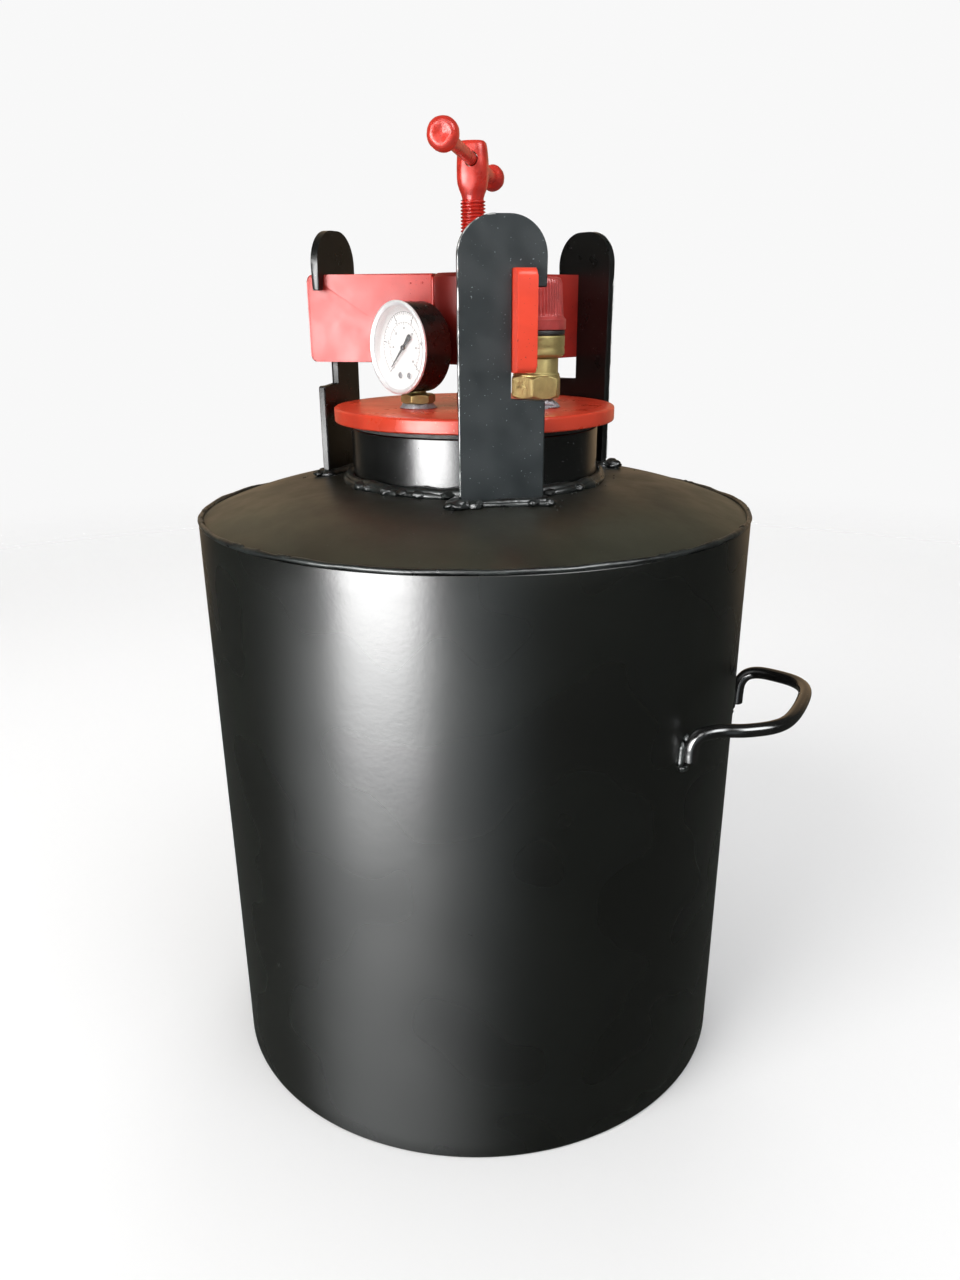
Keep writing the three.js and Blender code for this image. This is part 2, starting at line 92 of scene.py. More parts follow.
def noise_tex(nt, co, scale, detail=3.0, rough=0.5, distortion=0.0, stretch=None):
    if stretch:
        mp = nt.nodes.new("ShaderNodeMapping")
        mp.inputs["Scale"].default_value = stretch
        nt.links.new(co, mp.inputs["Vector"])
        co = mp.outputs["Vector"]
    t = nt.nodes.new("ShaderNodeTexNoise")
    t.inputs["Scale"].default_value = scale
    t.inputs["Detail"].default_value = detail
    t.inputs["Roughness"].default_value = rough
    t.inputs["Distortion"].default_value = distortion
    nt.links.new(co, t.inputs["Vector"])
    return t.outputs["Fac"]


def map_range(nt, value, a, b, lo, hi, smooth=True):
    r = nt.nodes.new("ShaderNodeMapRange")
    if smooth:
        r.interpolation_type = "SMOOTHSTEP"
    for k, v in (("From Min", a), ("From Max", b), ("To Min", lo), ("To Max", hi)):
        r.inputs[k].default_value = v
    nt.links.new(value, r.inputs["Value"])
    return r.outputs["Result"]


def mix_col(nt, fac, a, b):
    x = nt.nodes.new("ShaderNodeMix")
    x.data_type = "RGBA"
    nt.links.new(fac, x.inputs["Factor"])
    for sock, v in ((x.inputs[6], a), (x.inputs[7], b)):
        if isinstance(v, (tuple, list)):
            sock.default_value = (*v[:3], 1.0)
        else:
            nt.links.new(v, sock)
    return x.outputs[2]


def math_node(nt, op, a, b=None):
    n = nt.nodes.new("ShaderNodeMath")
    n.operation = op
    for i, v in enumerate((a, b)):
        if v is None:
            continue
        if isinstance(v, (int, float)):
            n.inputs[i].default_value = v
        else:
            nt.links.new(v, n.inputs[i])
    return n.outputs[0]


def bump(nt, height, strength, distance, normal=None):
    n = nt.nodes.new("ShaderNodeBump")
    n.inputs["Strength"].default_value = strength
    n.inputs["Distance"].default_value = distance
    nt.links.new(height, n.inputs["Height"])
    if normal is not None:
        nt.links.new(normal, n.inputs["Normal"])
    return n.outputs["Normal"]


def paint(name, a, b, rough=(0.3, 0.42), mottle=9.0, peel=420.0, peel_h=0.00025, ripple=60.0, ripple_h=0.0004,
          spec=0.5, coat=0.0, specks=None, metallic=0.0, stretch=None):
    """Sprayed or brushed paint: two tones, uneven gloss, orange peel over a slow ripple, and optional specks."""
    m, nt, s, co = new_mat(name)
    slow = noise_tex(nt, co, mottle, 4.0, 0.6, 0.4, stretch)
    col = mix_col(nt, map_range(nt, slow, 0.36, 0.66, 0.0, 1.0), a, b)
    if specks:
        scale, level, tone = specks
        fleck = noise_tex(nt, co, scale, 1.0, 0.3)
        col = mix_col(nt, map_range(nt, fleck, level, level + 0.03, 0.0, 1.0), col, tone)
    nt.links.new(col, s.inputs["Base Color"])
    gloss = noise_tex(nt, co, mottle * 3.1, 3.0, 0.6)
    nt.links.new(map_range(nt, gloss, 0.3, 0.7, rough[0], rough[1]), s.inputs["Roughness"])
    n1 = bump(nt, noise_tex(nt, co, ripple, 2.0, 0.5), 1.0, ripple_h)
    n2 = bump(nt, noise_tex(nt, co, peel, 2.0, 0.5), 1.0, peel_h, n1)
    nt.links.new(n2, s.inputs["Normal"])
    s.inputs["Metallic"].default_value = metallic
    s.inputs["Specular IOR Level"].default_value = spec
    if coat:
        s.inputs["Coat Weight"].default_value = coat
        s.inputs["Coat Roughness"].default_value = 0.12
    return m


def metal(name, a, b, rough=(0.22, 0.4), mottle=60.0, grain=900.0, grain_h=0.00006, stretch=(1, 1, 14), metallic=1.0):
    """Machined metal: tarnish in two tones over fine turned lines."""
    m, nt, s, co = new_mat(name)
    col = mix_col(nt, map_range(nt, noise_tex(nt, co, mottle, 4.0, 0.6, 0.5), 0.35, 0.68, 0.0, 1.0), a, b)
    nt.links.new(col, s.inputs["Base Color"])
    nt.links.new(map_range(nt, noise_tex(nt, co, mottle * 2.3, 3.0), 0.3, 0.7, rough[0], rough[1]), s.inputs["Roughness"])
    nt.links.new(bump(nt, noise_tex(nt, co, grain, 2.0, 0.5, 0.0, stretch), 1.0, grain_h), s.inputs["Normal"])
    s.inputs["Metallic"].default_value = metallic
    return m


M = {}
M["black_paint_body"] = paint("black_enamel_body", (0.0047, 0.0051, 0.0043), (0.0038, 0.0041, 0.0034), (0.255, 0.295), 4.0,
                              300.0, 0.000035, 30.0, 0.00010, spec=0.62, stretch=(1, 1, 0.5))
# top plate: the same black enamel as the wall, given a lighter olive tone as painted sheen
M["black_paint_top"] = paint("black_enamel_top_painted_sheen", (0.0270, 0.0275, 0.0180), (0.0150, 0.0150, 0.0105), (0.34, 0.46), 10.0,
                             420.0, 0.00003, 45.0, 0.00010, spec=0.5, specks=(520.0, 0.745, (0.04, 0.045, 0.04)))
for _n in M["black_paint_body"].node_tree.nodes:      # broad, soft clouds rather than patches
    if _n.type == "TEX_NOISE" and _n.inputs["Scale"].default_value < 20:
        _n.inputs["Detail"].default_value = 1.0
        _n.inputs["Distortion"].default_value = 0.0
# darker toward the neck, where the painted sheen fades out: the top plate's colour blends back toward plain black from
# 165 mm radius in to 105 mm
_nt = M["black_paint_top"].node_tree
_sh = next(n for n in _nt.nodes if n.type == "BSDF_PRINCIPLED")
_src = _sh.inputs["Base Color"].links[0].from_socket
_tc = _nt.nodes.new("ShaderNodeTexCoord")
_cyl = _nt.nodes.new("ShaderNodeVectorMath")
_cyl.operation = "MULTIPLY"
_nt.links.new(_tc.outputs["Object"], _cyl.inputs[0])
_cyl.inputs[1].default_value = (1.0, 1.0, 0.0)
_rad = _nt.nodes.new("ShaderNodeVectorMath")
_rad.operation = "LENGTH"
_nt.links.new(_cyl.outputs[0], _rad.inputs[0])
_nt.links.new(mix_col(_nt, map_range(_nt, _rad.outputs["Value"], 0.105, 0.165, 0.75, 0.0), _src, (0.0045, 0.0046, 0.0040)), _sh.inputs["Base Color"])
M["neck_paint"] = paint("black_enamel_neck", (0.0050, 0.0052, 0.0050), (0.0030, 0.0032, 0.0032), (0.20, 0.27), 14.0,
                        420.0, 0.00003, 45.0, 0.00009, spec=0.62, specks=(700.0, 0.76, (0.10, 0.10, 0.10)))
# weld paint: black enamel mottled at random with a lighter greenish grey tone that is painted sheen
M["black_paint_weld"] = paint("black_enamel_weld_painted_sheen", (0.0040, 0.0046, 0.0044), (0.0150, 0.0182, 0.0172), (0.27, 0.42), 40.0,
                              500.0, 0.00003, 130.0, 0.00015, spec=0.60, specks=(520.0, 0.80, (0.06, 0.07, 0.07)))
# the posts are one black enamel: the front post's lighter bluish copy is painted sheen, the back posts' darker copy
# below is painted shade
M["black_paint_posts"] = paint("black_enamel_posts", (0.0112, 0.0142, 0.0155), (0.0064, 0.0086, 0.0094), (0.36, 0.50), 14.0,
                               620.0, 0.00004, 90.0, 0.00008, spec=0.42, specks=(900.0, 0.755, (0.15, 0.17, 0.18)))
M["post_back"] = paint("black_enamel_posts_back_painted_shade", (0.0040, 0.0041, 0.0038), (0.0025, 0.0026, 0.0024), (0.26, 0.36), 14.0,
                       620.0, 0.00004, 90.0, 0.00008, spec=0.42, specks=(900.0, 0.76, (0.10, 0.11, 0.11)))
# a darker copy of the yoke's red for the hub: painted shade, the hub wears the same paint as the arms
M["red_hub"] = paint("red_enamel_hub_painted_shade", (0.10, 0.006, 0.004), (0.07, 0.004, 0.0025), (0.46, 0.56), 22.0,
                     520.0, 0.00003, 60.0, 0.00005, spec=0.25, specks=(900.0, 0.745, (0.07, 0.006, 0.006)))
# a brighter copy of the yoke's red for the front arm: painted light
M["red_arm_front"] = paint("red_enamel_arm_front_painted_light", (0.82, 0.060, 0.024), (0.68, 0.046, 0.018), (0.34, 0.44), 22.0,
                           520.0, 0.00003, 60.0, 0.00005, spec=0.5, specks=(900.0, 0.745, (0.20, 0.014, 0.012)))
M["black_paint_handles"] = paint("black_enamel_handles", (0.0050, 0.0050, 0.0052), (0.0090, 0.0085, 0.0080), (0.12, 0.22), 40.0,
                                 500.0, 0.00002, 90.0, 0.00006, spec=0.7, coat=0.4)
# light grey for the strip on the posts' edges: a painted highlight
M["edge_wear"] = paint("painted_edge_highlight", (0.62, 0.63, 0.62), (0.10, 0.11, 0.11), (0.30, 0.45), 130.0,
                       620.0, 0.00004, 90.0, 0.00008, spec=0.5, metallic=0.3)
M["red_paint_lid"] = paint("red_enamel_lid", (0.66, 0.052, 0.020), (0.50, 0.036, 0.014), (0.26, 0.36), 18.0,
                           480.0, 0.00002, 50.0, 0.00005, spec=0.5, specks=(900.0, 0.74, (0.50, 0.16, 0.10)))
M["red_paint_yoke"] = paint("red_enamel_yoke", (0.40, 0.026, 0.017), (0.30, 0.018, 0.013), (0.36, 0.44), 22.0,
                            520.0, 0.00003, 60.0, 0.00005, spec=0.5, specks=(900.0, 0.745, (0.12, 0.010, 0.010)))
M["red_paint_screw"] = paint("red_enamel_screw", (0.60, 0.034, 0.018), (0.42, 0.020, 0.012), (0.26, 0.38), 60.0,
                             600.0, 0.00005, 130.0, 0.00012, spec=0.5, coat=0.0, specks=(800.0, 0.74, (0.16, 0.012, 0.010)))
M["gasket_rubber"] = paint("gasket_silicone", (0.020, 0.019, 0.018), (0.014, 0.013, 0.012), (0.55, 0.7), 60.0, 900.0, 0.0001, 120.0, 0.0003)
M["bare_steel"] = metal("bare_steel", (0.46, 0.46, 0.47), (0.33, 0.33, 0.34), (0.24, 0.4))
M["spring_steel"] = metal("spring_wire", (0.52, 0.52, 0.53), (0.40, 0.40, 0.41), (0.2, 0.34))
M["gauge_black"] = paint("gauge_case_enamel", (0.0060, 0.0052, 0.0045), (0.0036, 0.0032, 0.0028), (0.24, 0.36), 60.0,
                         900.0, 0.00003, 120.0, 0.00005, spec=0.28)
M["gauge_ring"] = metal("gauge_ring", (0.86, 0.87, 0.88), (0.78, 0.79, 0.80), (0.34, 0.46), 120.0, 1200.0, 0.00003, (1, 1, 1), metallic=0.35)
M["brass"] = metal("brass", (0.40, 0.33, 0.13), (0.30, 0.25, 0.095), (0.32, 0.46), 90.0, metallic=0.55)
M["sealing_paste"] = paint("sealing_paste", (0.42, 0.44, 0.47), (0.25, 0.26, 0.28), (0.35, 0.6), 160.0, 900.0, 0.0004, 300.0, 0.0010,
                           metallic=0.35)
M["black_plastic"] = paint("black_plastic", (0.012, 0.012, 0.012), (0.018, 0.018, 0.018), (0.42, 0.55), 120.0, 1400.0, 0.0001, 200.0, 0.0002)
M["red_plastic"] = paint("red_plastic", (0.44, 0.055, 0.050), (0.33, 0.040, 0.037), (0.3, 0.42), 80.0, 1200.0, 0.00008, 200.0, 0.0002)
M["pointer_black"] = paint("printed_black", (0.012, 0.012, 0.013), (0.020, 0.020, 0.021), (0.45, 0.6), 400.0, 2000.0, 0.00003, 300.0, 0.00005)
M["gauge_white"] = paint("dial_white", (0.96, 0.96, 0.955), (0.94, 0.94, 0.935), (0.35, 0.5), 90.0, 1500.0, 0.00003, 200.0, 0.00005)
M["black_paint_body_inside"] = paint("black_enamel_inside", (0.014, 0.0145, 0.015), (0.009, 0.009, 0.0095), (0.4, 0.55), 12.0)

glass, gnt, gs, gco = new_mat("gauge_window")
gs.inputs["Base Color"].default_value = (0.95, 0.97, 0.98, 1)
nt_r = map_range(gnt, noise_tex(gnt, gco, 160.0, 2.0), 0.3, 0.7, 0.03, 0.09)
gnt.links.new(nt_r, gs.inputs["Roughness"])
gs.inputs["Alpha"].default_value = 0.05
gs.inputs["IOR"].default_value = 1.5
M["gauge_glass"] = glass

for sub in frame["record"]["subparts"]:
    o = NODES[sub["node"]]
    for sl in o.material_slots:
        sl.material = M[sub["material_slot"]]


# ------------------------------------------------------------------ mesh helpers
def make(name, geo, slot, body="vessel", nodes=(), sharp=38.0, mat=None, matrix=None):
    verts, faces = geo
    me = bpy.data.meshes.new(name)
    if matrix is not None:
        verts = [matrix @ Vector(v) for v in verts]
    me.from_pydata([(v[0] * MM, v[1] * MM, v[2] * MM) for v in verts], [], faces)
    bm = bmesh.new()
    bm.from_mesh(me)
    bmesh.ops.remove_doubles(bm, verts=bm.verts, dist=2e-7)
    bmesh.ops.recalc_face_normals(bm, faces=bm.faces)
    for f in bm.faces:
        f.smooth = True
    lim = rad(sharp)
    for e in bm.edges:
        if len(e.link_faces) == 2:
            e.smooth = e.calc_face_angle(0.0) < lim
    bm.to_mesh(me)
    bm.free()
    o = bpy.data.objects.new(name, me)
    scene.collection.objects.link(o)
    me.materials.append(mat or M[slot])
    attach(o, body)
    if nodes:
        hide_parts(*nodes)
    return o


def merge(*geos):
    verts, faces = [], []
    for v, f in geos:
        k = len(verts)
        verts += [tuple(p) for p in v]
        faces += [tuple(i + k for i in face) for face in f]
    return verts, faces


def moved(geo, matrix):
    return [tuple(matrix @ Vector(v)) for v in geo[0]], geo[1]


def fillet(pts, radii, n=5, closed=True):
    """Rounds the corners of a 2-D outline; radii is one radius or {index: radius}."""
    out, count = [], len(pts)
    for i, p in enumerate(pts):
        r = radii.get(i, 0) if isinstance(radii, dict) else radii
        if r <= 0 or (not closed and i in (0, count - 1)):
            out.append(tuple(p))
            continue
        a, b, c = Vector(pts[i - 1]), Vector(p), Vector(pts[(i + 1) % count])
        u, v = (a - b), (c - b)
        lu, lv = u.length, v.length
        u.normalize()
        v.normalize()
        ang = math.acos(max(-1, min(1, u.dot(v))))
        if ang > PI - 1e-3:
            out.append(tuple(p))
            continue
        d = min(r / math.tan(ang / 2), lu * 0.49, lv * 0.49)
        rr = d * math.tan(ang / 2)
        s, e = b + u * d, b + v * d
        cen = b + (u + v).normalized() * (rr / math.sin(ang / 2))
        t0 = math.atan2(s.y - cen.y, s.x - cen.x)
        t1 = math.atan2(e.y - cen.y, e.x - cen.x)
        da = (t1 - t0 + PI) % (2 * PI) - PI
        for k in range(n + 1):
            t = t0 + da * k / n
            out.append((cen.x + rr * math.cos(t), cen.y + rr * math.sin(t)))
    return out


def lathe(profile, seg=96, c=(0.0, 0.0), fn=None):
    """Turned about +Z. A profile that starts and ends on the axis is open; any other closes on itself."""
    verts, faces, n = [], [], len(profile)
    loop = not (profile[0][0] < 1e-6 and profile[-1][0] < 1e-6)
    for k in range(seg):
        a = 2 * PI * k / seg
        for i, (r, z) in enumerate(profile):
            if fn:
                r, z = fn(a, i, r, z)
            verts.append((c[0] + r * math.cos(a), c[1] + r * math.sin(a), z))
    for k in range(seg):
        k2 = (k + 1) % seg
        for i in range(n if loop else n - 1):
            j = (i + 1) % n
            if profile[i][0] < 1e-6 and profile[j][0] < 1e-6:
                continue
            faces.append((k * n + i, k2 * n + i, k2 * n + j, k * n + j))
    return verts, faces


def dense(profile, step, closed=True):
    """Adds points along the straight runs of a profile."""
    out, n = [], len(profile)
    for i in range(n if closed else n - 1):
        a, b = profile[i], profile[(i + 1) % n]
        k = max(1, int(math.hypot(b[0] - a[0], b[1] - a[1]) / step))
        out += [(a[0] + (b[0] - a[0]) * t / k, a[1] + (b[1] - a[1]) * t / k) for t in range(k)]
    if not closed:
        out.append(profile[-1])
    return out


def prism(outline, d0, d1, bevel=0.6, segs=2):
    """An outline drawn in (x, y), thickened from d0 to d1, with its edges rounded."""
    bm = bmesh.new()
    lo = [bm.verts.new((x, y, d0)) for x, y in outline]
    hi = [bm.verts.new((x, y, d1)) for x, y in outline]
    bm.faces.new(lo[::-1])
    bm.faces.new(hi)
    n = len(outline)
    for i in range(n):
        j = (i + 1) % n
        bm.faces.new((lo[i], lo[j], hi[j], hi[i]))
    low, high = set(lo), set(hi)
    rim = [e for e in bm.edges if set(e.verts) <= low or set(e.verts) <= high]
    bmesh.ops.bevel(bm, geom=rim, offset=bevel, segments=segs, profile=0.5, affect="EDGES")
    bm.verts.index_update()
    geo = ([tuple(v.co) for v in bm.verts], [tuple(v.index for v in f.verts) for f in bm.faces])
    bm.free()
    return geo


def catmull(points, per=10, closed=False):
    pts = [Vector(p) for p in points]
    n, out = len(pts), []
    for i in range(n if closed else n - 1):
        if closed:
            p0, p1, p2, p3 = pts[i - 1], pts[i], pts[(i + 1) % n], pts[(i + 2) % n]
        else:
            p0, p1, p2, p3 = pts[max(i - 1, 0)], pts[i], pts[i + 1], pts[min(i + 2, n - 1)]
        for k in range(per):
            t = k / per
            out.append(0.5 * (2 * p1 + (p2 - p0) * t + (2 * p0 - 5 * p1 + 4 * p2 - p3) * t * t + (3 * p1 - p0 - 3 * p2 + p3) * t ** 3))
    if not closed:
        out.append(pts[-1])
    return out


def sweep(path, radius, sides=12, closed=False, fn=None, caps=True):
    """A tube along a path. fn(i, share, side angle) scales the radius there."""
    n = len(path)
    tans = []
    for i in range(n):
        a = path[i - 1] if (closed or i) else path[0]
        b = path[(i + 1) % n] if (closed or i < n - 1) else path[-1]
        tans.append((b - a).normalized())
    up = Vector((0, 0, 1)) if abs(tans[0].z) < 0.9 else Vector((1, 0, 0))
    side = tans[0].cross(up).normalized()
    verts, faces = [], []
    for i in range(n):
        side = (side - tans[i] * side.dot(tans[i])).normalized()
        nrm = side.cross(tans[i])
        for k in range(sides):
            a = 2 * PI * k / sides
            r = radius * (fn(i, i / n, a) if fn else 1.0)
            verts.append(tuple(path[i] + side * (r * math.cos(a)) + nrm * (r * math.sin(a))))
    for i in range(n if closed else n - 1):
        j = (i + 1) % n
        for k in range(sides):
            l = (k + 1) % sides
            faces.append((i * sides + k, i * sides + l, j * sides + l, j * sides + k))
    if caps and not closed:
        faces.append(tuple(range(sides))[::-1])
        faces.append(tuple((n - 1) * sides + k for k in range(sides)))
    return verts, faces


def bead(path, radius, seed, closed=False, pitch=2.6, step=0.9, lump=0.28, sides=10, fine=0.6):
    """A hand-laid weld bead: overlapping puddles of uneven width along a path."""
    even, left = [path[0].copy()], 0.0
    ring = path + [path[0]] if closed else path
    for a, b in zip(ring, ring[1:]):
        length = (b - a).length
        t = step - left
        while t <= length:
            even.append(a.lerp(b, t / length))
            t += step
        left = length - (t - step)
    if closed and (even[-1] - even[0]).length < step * 0.6:
        even.pop()
    ends = len(even)

    def fn(i, share, a):
        d = i * step
        p = d / pitch + 0.6 * ns(d * 0.11, 3.0, 0.0, seed)
        puddle = 0.18 * fine * (1 - (2 * (p % 1.0) - 1) ** 2)
        slow = lump * ns(d * 0.055, 7.0, 1.0, seed) + 0.16 * fine * ns(d * 0.35, 2.0, 5.0, seed)
        round_ = 0.12 * fine * ns(d * 0.3, math.cos(a) * 1.3, math.sin(a) * 1.3, seed)
        fade = 1.0 if closed else min(1.0, 0.35 + min(i, ends - 1 - i) * step / (radius * 1.6))
        return (0.9 + puddle + slow + round_) * fade

    return sweep(even, radius, sides, closed, fn)


def blob(pos, r, seed, squash=(1, 1, 1), rings=6, segs=9, rough=0.22):
    """A small uneven drop."""
    verts, faces = [], []
    for i in range(rings + 1):
        t = PI * i / rings
        for k in range(segs):
            a = 2 * PI * k / segs
            d = Vector((math.sin(t) * math.cos(a), math.sin(t) * math.sin(a), math.cos(t)))
            q = r * (1 + rough * ns(d.x * 1.7, d.y * 1.7, d.z * 1.7, seed))
            verts.append((pos[0] + d.x * q * squash[0], pos[1] + d.y * q * squash[1], pos[2] + d.z * q * squash[2]))
    for i in range(rings):
        for k in range(segs):
            l = (k + 1) % segs
            faces.append((i * segs + k, i * segs + l, (i + 1) * segs + l, (i + 1) * segs + k))
    return verts, faces


def polar(angle, r, s, z):
    """A point r out along the radius at angle, s sideways, at height z."""
    t = rad(angle)
    return Vector((r * math.cos(t) - s * math.sin(t), r * math.sin(t) + s * math.cos(t), z))


def radial_matrix(angle, r=0.0):
    """Takes (sideways, up, outwards) to the row frame."""
    t = rad(angle)
    m = Matrix(((-math.sin(t), 0, math.cos(t), r * math.cos(t)), (math.cos(t), 0, math.sin(t), r * math.sin(t)),
                (0, 1, 0, 0), (0, 0, 0, 1)))
    return m


def hexed(flats, z0, z1, facing, c=(0, 0), chamfer=1.2, seg=144, hole=0.0):
    """A hexagon with turned chamfers top and bottom; a flat faces the given direction."""
    rc = flats / math.sqrt(3)
    zs = [z0] + [z0 + chamfer * k / 6 for k in range(1, 7)] + [z1 - chamfer * k / 6 for k in range(6, 0, -1)] + [z1]
    flat_r = flats / 2 - 0.3

    def fn(a, i, r, z):
        if r < 0:
            return hole, z
        if r < flats / 2 - 1:
            return r, z
        d = (a - rad(facing) + rad(30)) % rad(60) - rad(30)
        h = flats / 2 / math.cos(d)
        edge = flat_r + (rc - flat_r + 0.05) * min(1.0, (z - z0) / chamfer, (z1 - z) / chamfer) ** 1.0
        return min(h, max(flat_r, edge)) - 0.06 * max(0, 1 - abs(abs(d) - rad(30)) / rad(2.2)), z

    prof = [(hole, z0)] + [(rc, z) for z in zs] + [(hole, z1)]
    return lathe(prof, seg, c, fn)


# ------------------------------------------------------------------ camera
CAM_POS = (0.0, -706.5, 544.3)
PITCH, YAW, ROLL = 0.3805, 0.00389, -0.00543
right = Vector((math.cos(YAW), -math.sin(YAW), 0))
fwd = Vector((math.sin(YAW) * math.cos(PITCH), math.cos(YAW) * math.cos(PITCH), -math.sin(PITCH)))
up = right.cross(fwd)
r_ = right * math.cos(ROLL) + up * math.sin(ROLL)
u_ = up * math.cos(ROLL) - right * math.sin(ROLL)
turn = Matrix.Rotation(rad(29), 4, "Z")
cam_m = Matrix(((r_.x, u_.x, -fwd.x, CAM_POS[0] * MM), (r_.y, u_.y, -fwd.y, CAM_POS[1] * MM),
                (r_.z, u_.z, -fwd.z, CAM_POS[2] * MM), (0, 0, 0, 1)))
cam_d = bpy.data.cameras.new("camera")
cam_d.sensor_fit = "VERTICAL"
cam_d.sensor_height = 36.0
cam_d.sensor_width = 27.0
cam_d.lens = 996.44 / 1280 * 36.0
cam_d.shift_x = 0.0
cam_d.shift_y = 0.046875
cam_d.clip_start = 0.02
cam_d.clip_end = 60
cam = bpy.data.objects.new("camera", cam_d)
scene.collection.objects.link(cam)
cam.matrix_world = turn @ cam_m
scene.camera = cam
scene.view_settings.view_transform = "Standard"
scene.view_settings.look = "None"

# ------------------------------------------------------------------ vessel
body_prof = dense(fillet([(187.0, 0.0), (190.0, 0.0), (190.0, BODY_H), (187.0, BODY_H)], {0: 0.6, 1: 1.2, 2: 0.6, 3: 0.4}, 4), 12.0)


def body_fn(a, i, r, z):
    wave = 0.22 * ns(math.cos(a) * 1.6, math.sin(a) * 1.6, z * 0.006, 1) + 0.10 * ns(math.cos(a) * 5, math.sin(a) * 5, z * 0.02, 2)
    return r - 0.25 + wave, z


make("vessel_wall", lathe(body_prof, 288, fn=body_fn), "black_paint_body", nodes=["body_shell"])

dome_r = [BODY_R - 3.3 - (BODY_R - 3.3 - 84.3) * k / 26 for k in range(27)]
dome_prof = [(r, dome_z(r)) for r in dome_r] + [(r, dome_z(r) - 4) for r in dome_r[::-1]]


def dome_fn(a, i, r, z):
    return r, z + 0.16 * ns(math.cos(a) * r * 0.02, math.sin(a) * r * 0.02, 0, 4) - 0.1


make("top_plate", lathe(dome_prof, 240, fn=dome_fn), "black_paint_top", nodes=["top_dome"])
neck_prof = dense(fillet([(79.0, 424.0), (84.0, 424.0), (84.0, NECK_TOP), (79.0, NECK_TOP)], {2: 0.8, 3: 0.8}, 3), 6.0)
make("neck_pipe", lathe(neck_prof, 192, fn=lambda a, i, r, z: (r - 0.08 + 0.08 * ns(math.cos(a) * 4, math.sin(a) * 4, z * 0.05, 6), z)),
     "black_paint_top", nodes=["neck_collar"], mat=M["neck_paint"])

# the rim: an uneven bead over the joint of wall and top plate, with the plate's edge showing in places
rng = random.Random(5)
rim_path = []
for k in range(760):
    a = 2 * PI * k / 760
    w = ns(math.cos(a) * 5, math.sin(a) * 5, 0.3, 8)
    rim_path.append(Vector(((188.35 + 0.35 * w) * math.cos(a), (188.35 + 0.35 * w) * math.sin(a),
                            410.2 + 0.55 * ns(math.cos(a) * 9, math.sin(a) * 9, 0.7, 9))))
rim = bead(rim_path, 1.9, 12, closed=True, pitch=8.5, step=1.15, lump=0.26, sides=10, fine=0.25)
extra = []
for k in range(26):
    a = rng.uniform(0, 2 * PI)
    span = rng.uniform(0.02, 0.09)
    pts = [Vector(((188.2 + rng.uniform(-0.5, 0.3)) * math.cos(a + span * t / 6), (188.2 + rng.uniform(-0.5, 0.3)) * math.sin(a + span * t / 6),
                   411.0 + rng.uniform(-0.3, 0.3))) for t in range(7)]
    extra.append(bead(pts, rng.uniform(1.2, 1.7), 40 + k, pitch=6.0, step=1.1, sides=8, fine=0.3))


def keep_in(geo, limit):
    out = []
    for x, y, z in geo[0]:
        r = math.hypot(x, y)
        f = min(1.0, limit / r)
        out.append((x * f, y * f, z))
    return out, geo[1]


make("rim_weld_bead", keep_in(merge(rim, *extra), 190.9), "black_paint_weld", nodes=["rim_weld"], sharp=60)

# bead round the foot of the neck, with lumps beside the posts
neck_path = []
for k in range(420):
    a = 2 * PI * k / 420
    w = ns(math.cos(a) * 4, math.sin(a) * 4, 0.2, 14)
    neck_path.append(Vector(((86.2 + 0.6 * w) * math.cos(a), (86.2 + 0.6 * w) * math.sin(a), 433.4 + 0.5 * w)))
nb = [bead(neck_path, 3.5, 15, closed=True, pitch=10.0, step=1.0, lump=0.5, sides=14, fine=0.22)]
neck_low = [Vector((p.x * 1.026, p.y * 1.026, p.z - 1.6)) for p in neck_path]
nb.append(bead(neck_low, 2.5, 16, closed=True, pitch=11.0, step=1.0, lump=0.7, sides=12, fine=0.25))
rng = random.Random(17)
for k in range(30):
    a, r = rng.uniform(0, 2 * PI), rng.uniform(90, 98)
    size = rng.uniform(0.25, 0.7)
    nb.append(blob((r * math.cos(a), r * math.sin(a), dome_z(r) + 0.1 * size), size, k, (1.2, 1.2, 0.7)))
for k, (ang_k, size) in enumerate(((-118, 4.6), (-112, 3.6), (-100, 4.2), (-92, 3.4), (-84, 3.8), (-72, 3.6), (-30, 3.6), (-12, 3.2), (160, 4.0), (85, 3.8))):
    a = rad(ang_k)
    nb.append(blob((88.6 * math.cos(a), 88.6 * math.sin(a), 432.6), size, 600 + k, (1.25, 1.25, 0.72), 14, 22, 0.34))
make("neck_weld_bead", merge(*nb), "black_paint_weld", nodes=["neck_weld"], sharp=60)


# ------------------------------------------------------------------ hook posts
def post_outline():
    r, n = 21.5, 14
    pts = [(S0, POST_Z0), (S1, POST_Z0), (S1, 489.2), (S1 - 0.4, 490.1), (S1 - 1.5, 490.5), (6.4, 490.5), (5.85, 490.75), (5.6, 491.3)]
    pts += [(5.6, 561.2), (5.85, 561.75), (6.4, 562.0), (19.0, 562.0), (19.8, 561.7), (20.2, 560.9), (20.2, 552.4), (20.45, 551.85), (21.0, 551.6),
            (S1 - 0.9, 551.6), (S1 - 0.2, 551.9), (S1, 552.6)]
    pts += [(S1 - r + r * math.cos(rad(90 * k / n)), POST_TOP - r + r * math.sin(rad(90 * k / n))) for k in range(n + 1)]
    pts += [(S0 + r - r * math.sin(rad(90 * k / n)), POST_TOP - r + r * math.cos(rad(90 * k / n))) for k in range(n + 1)]
    return pts


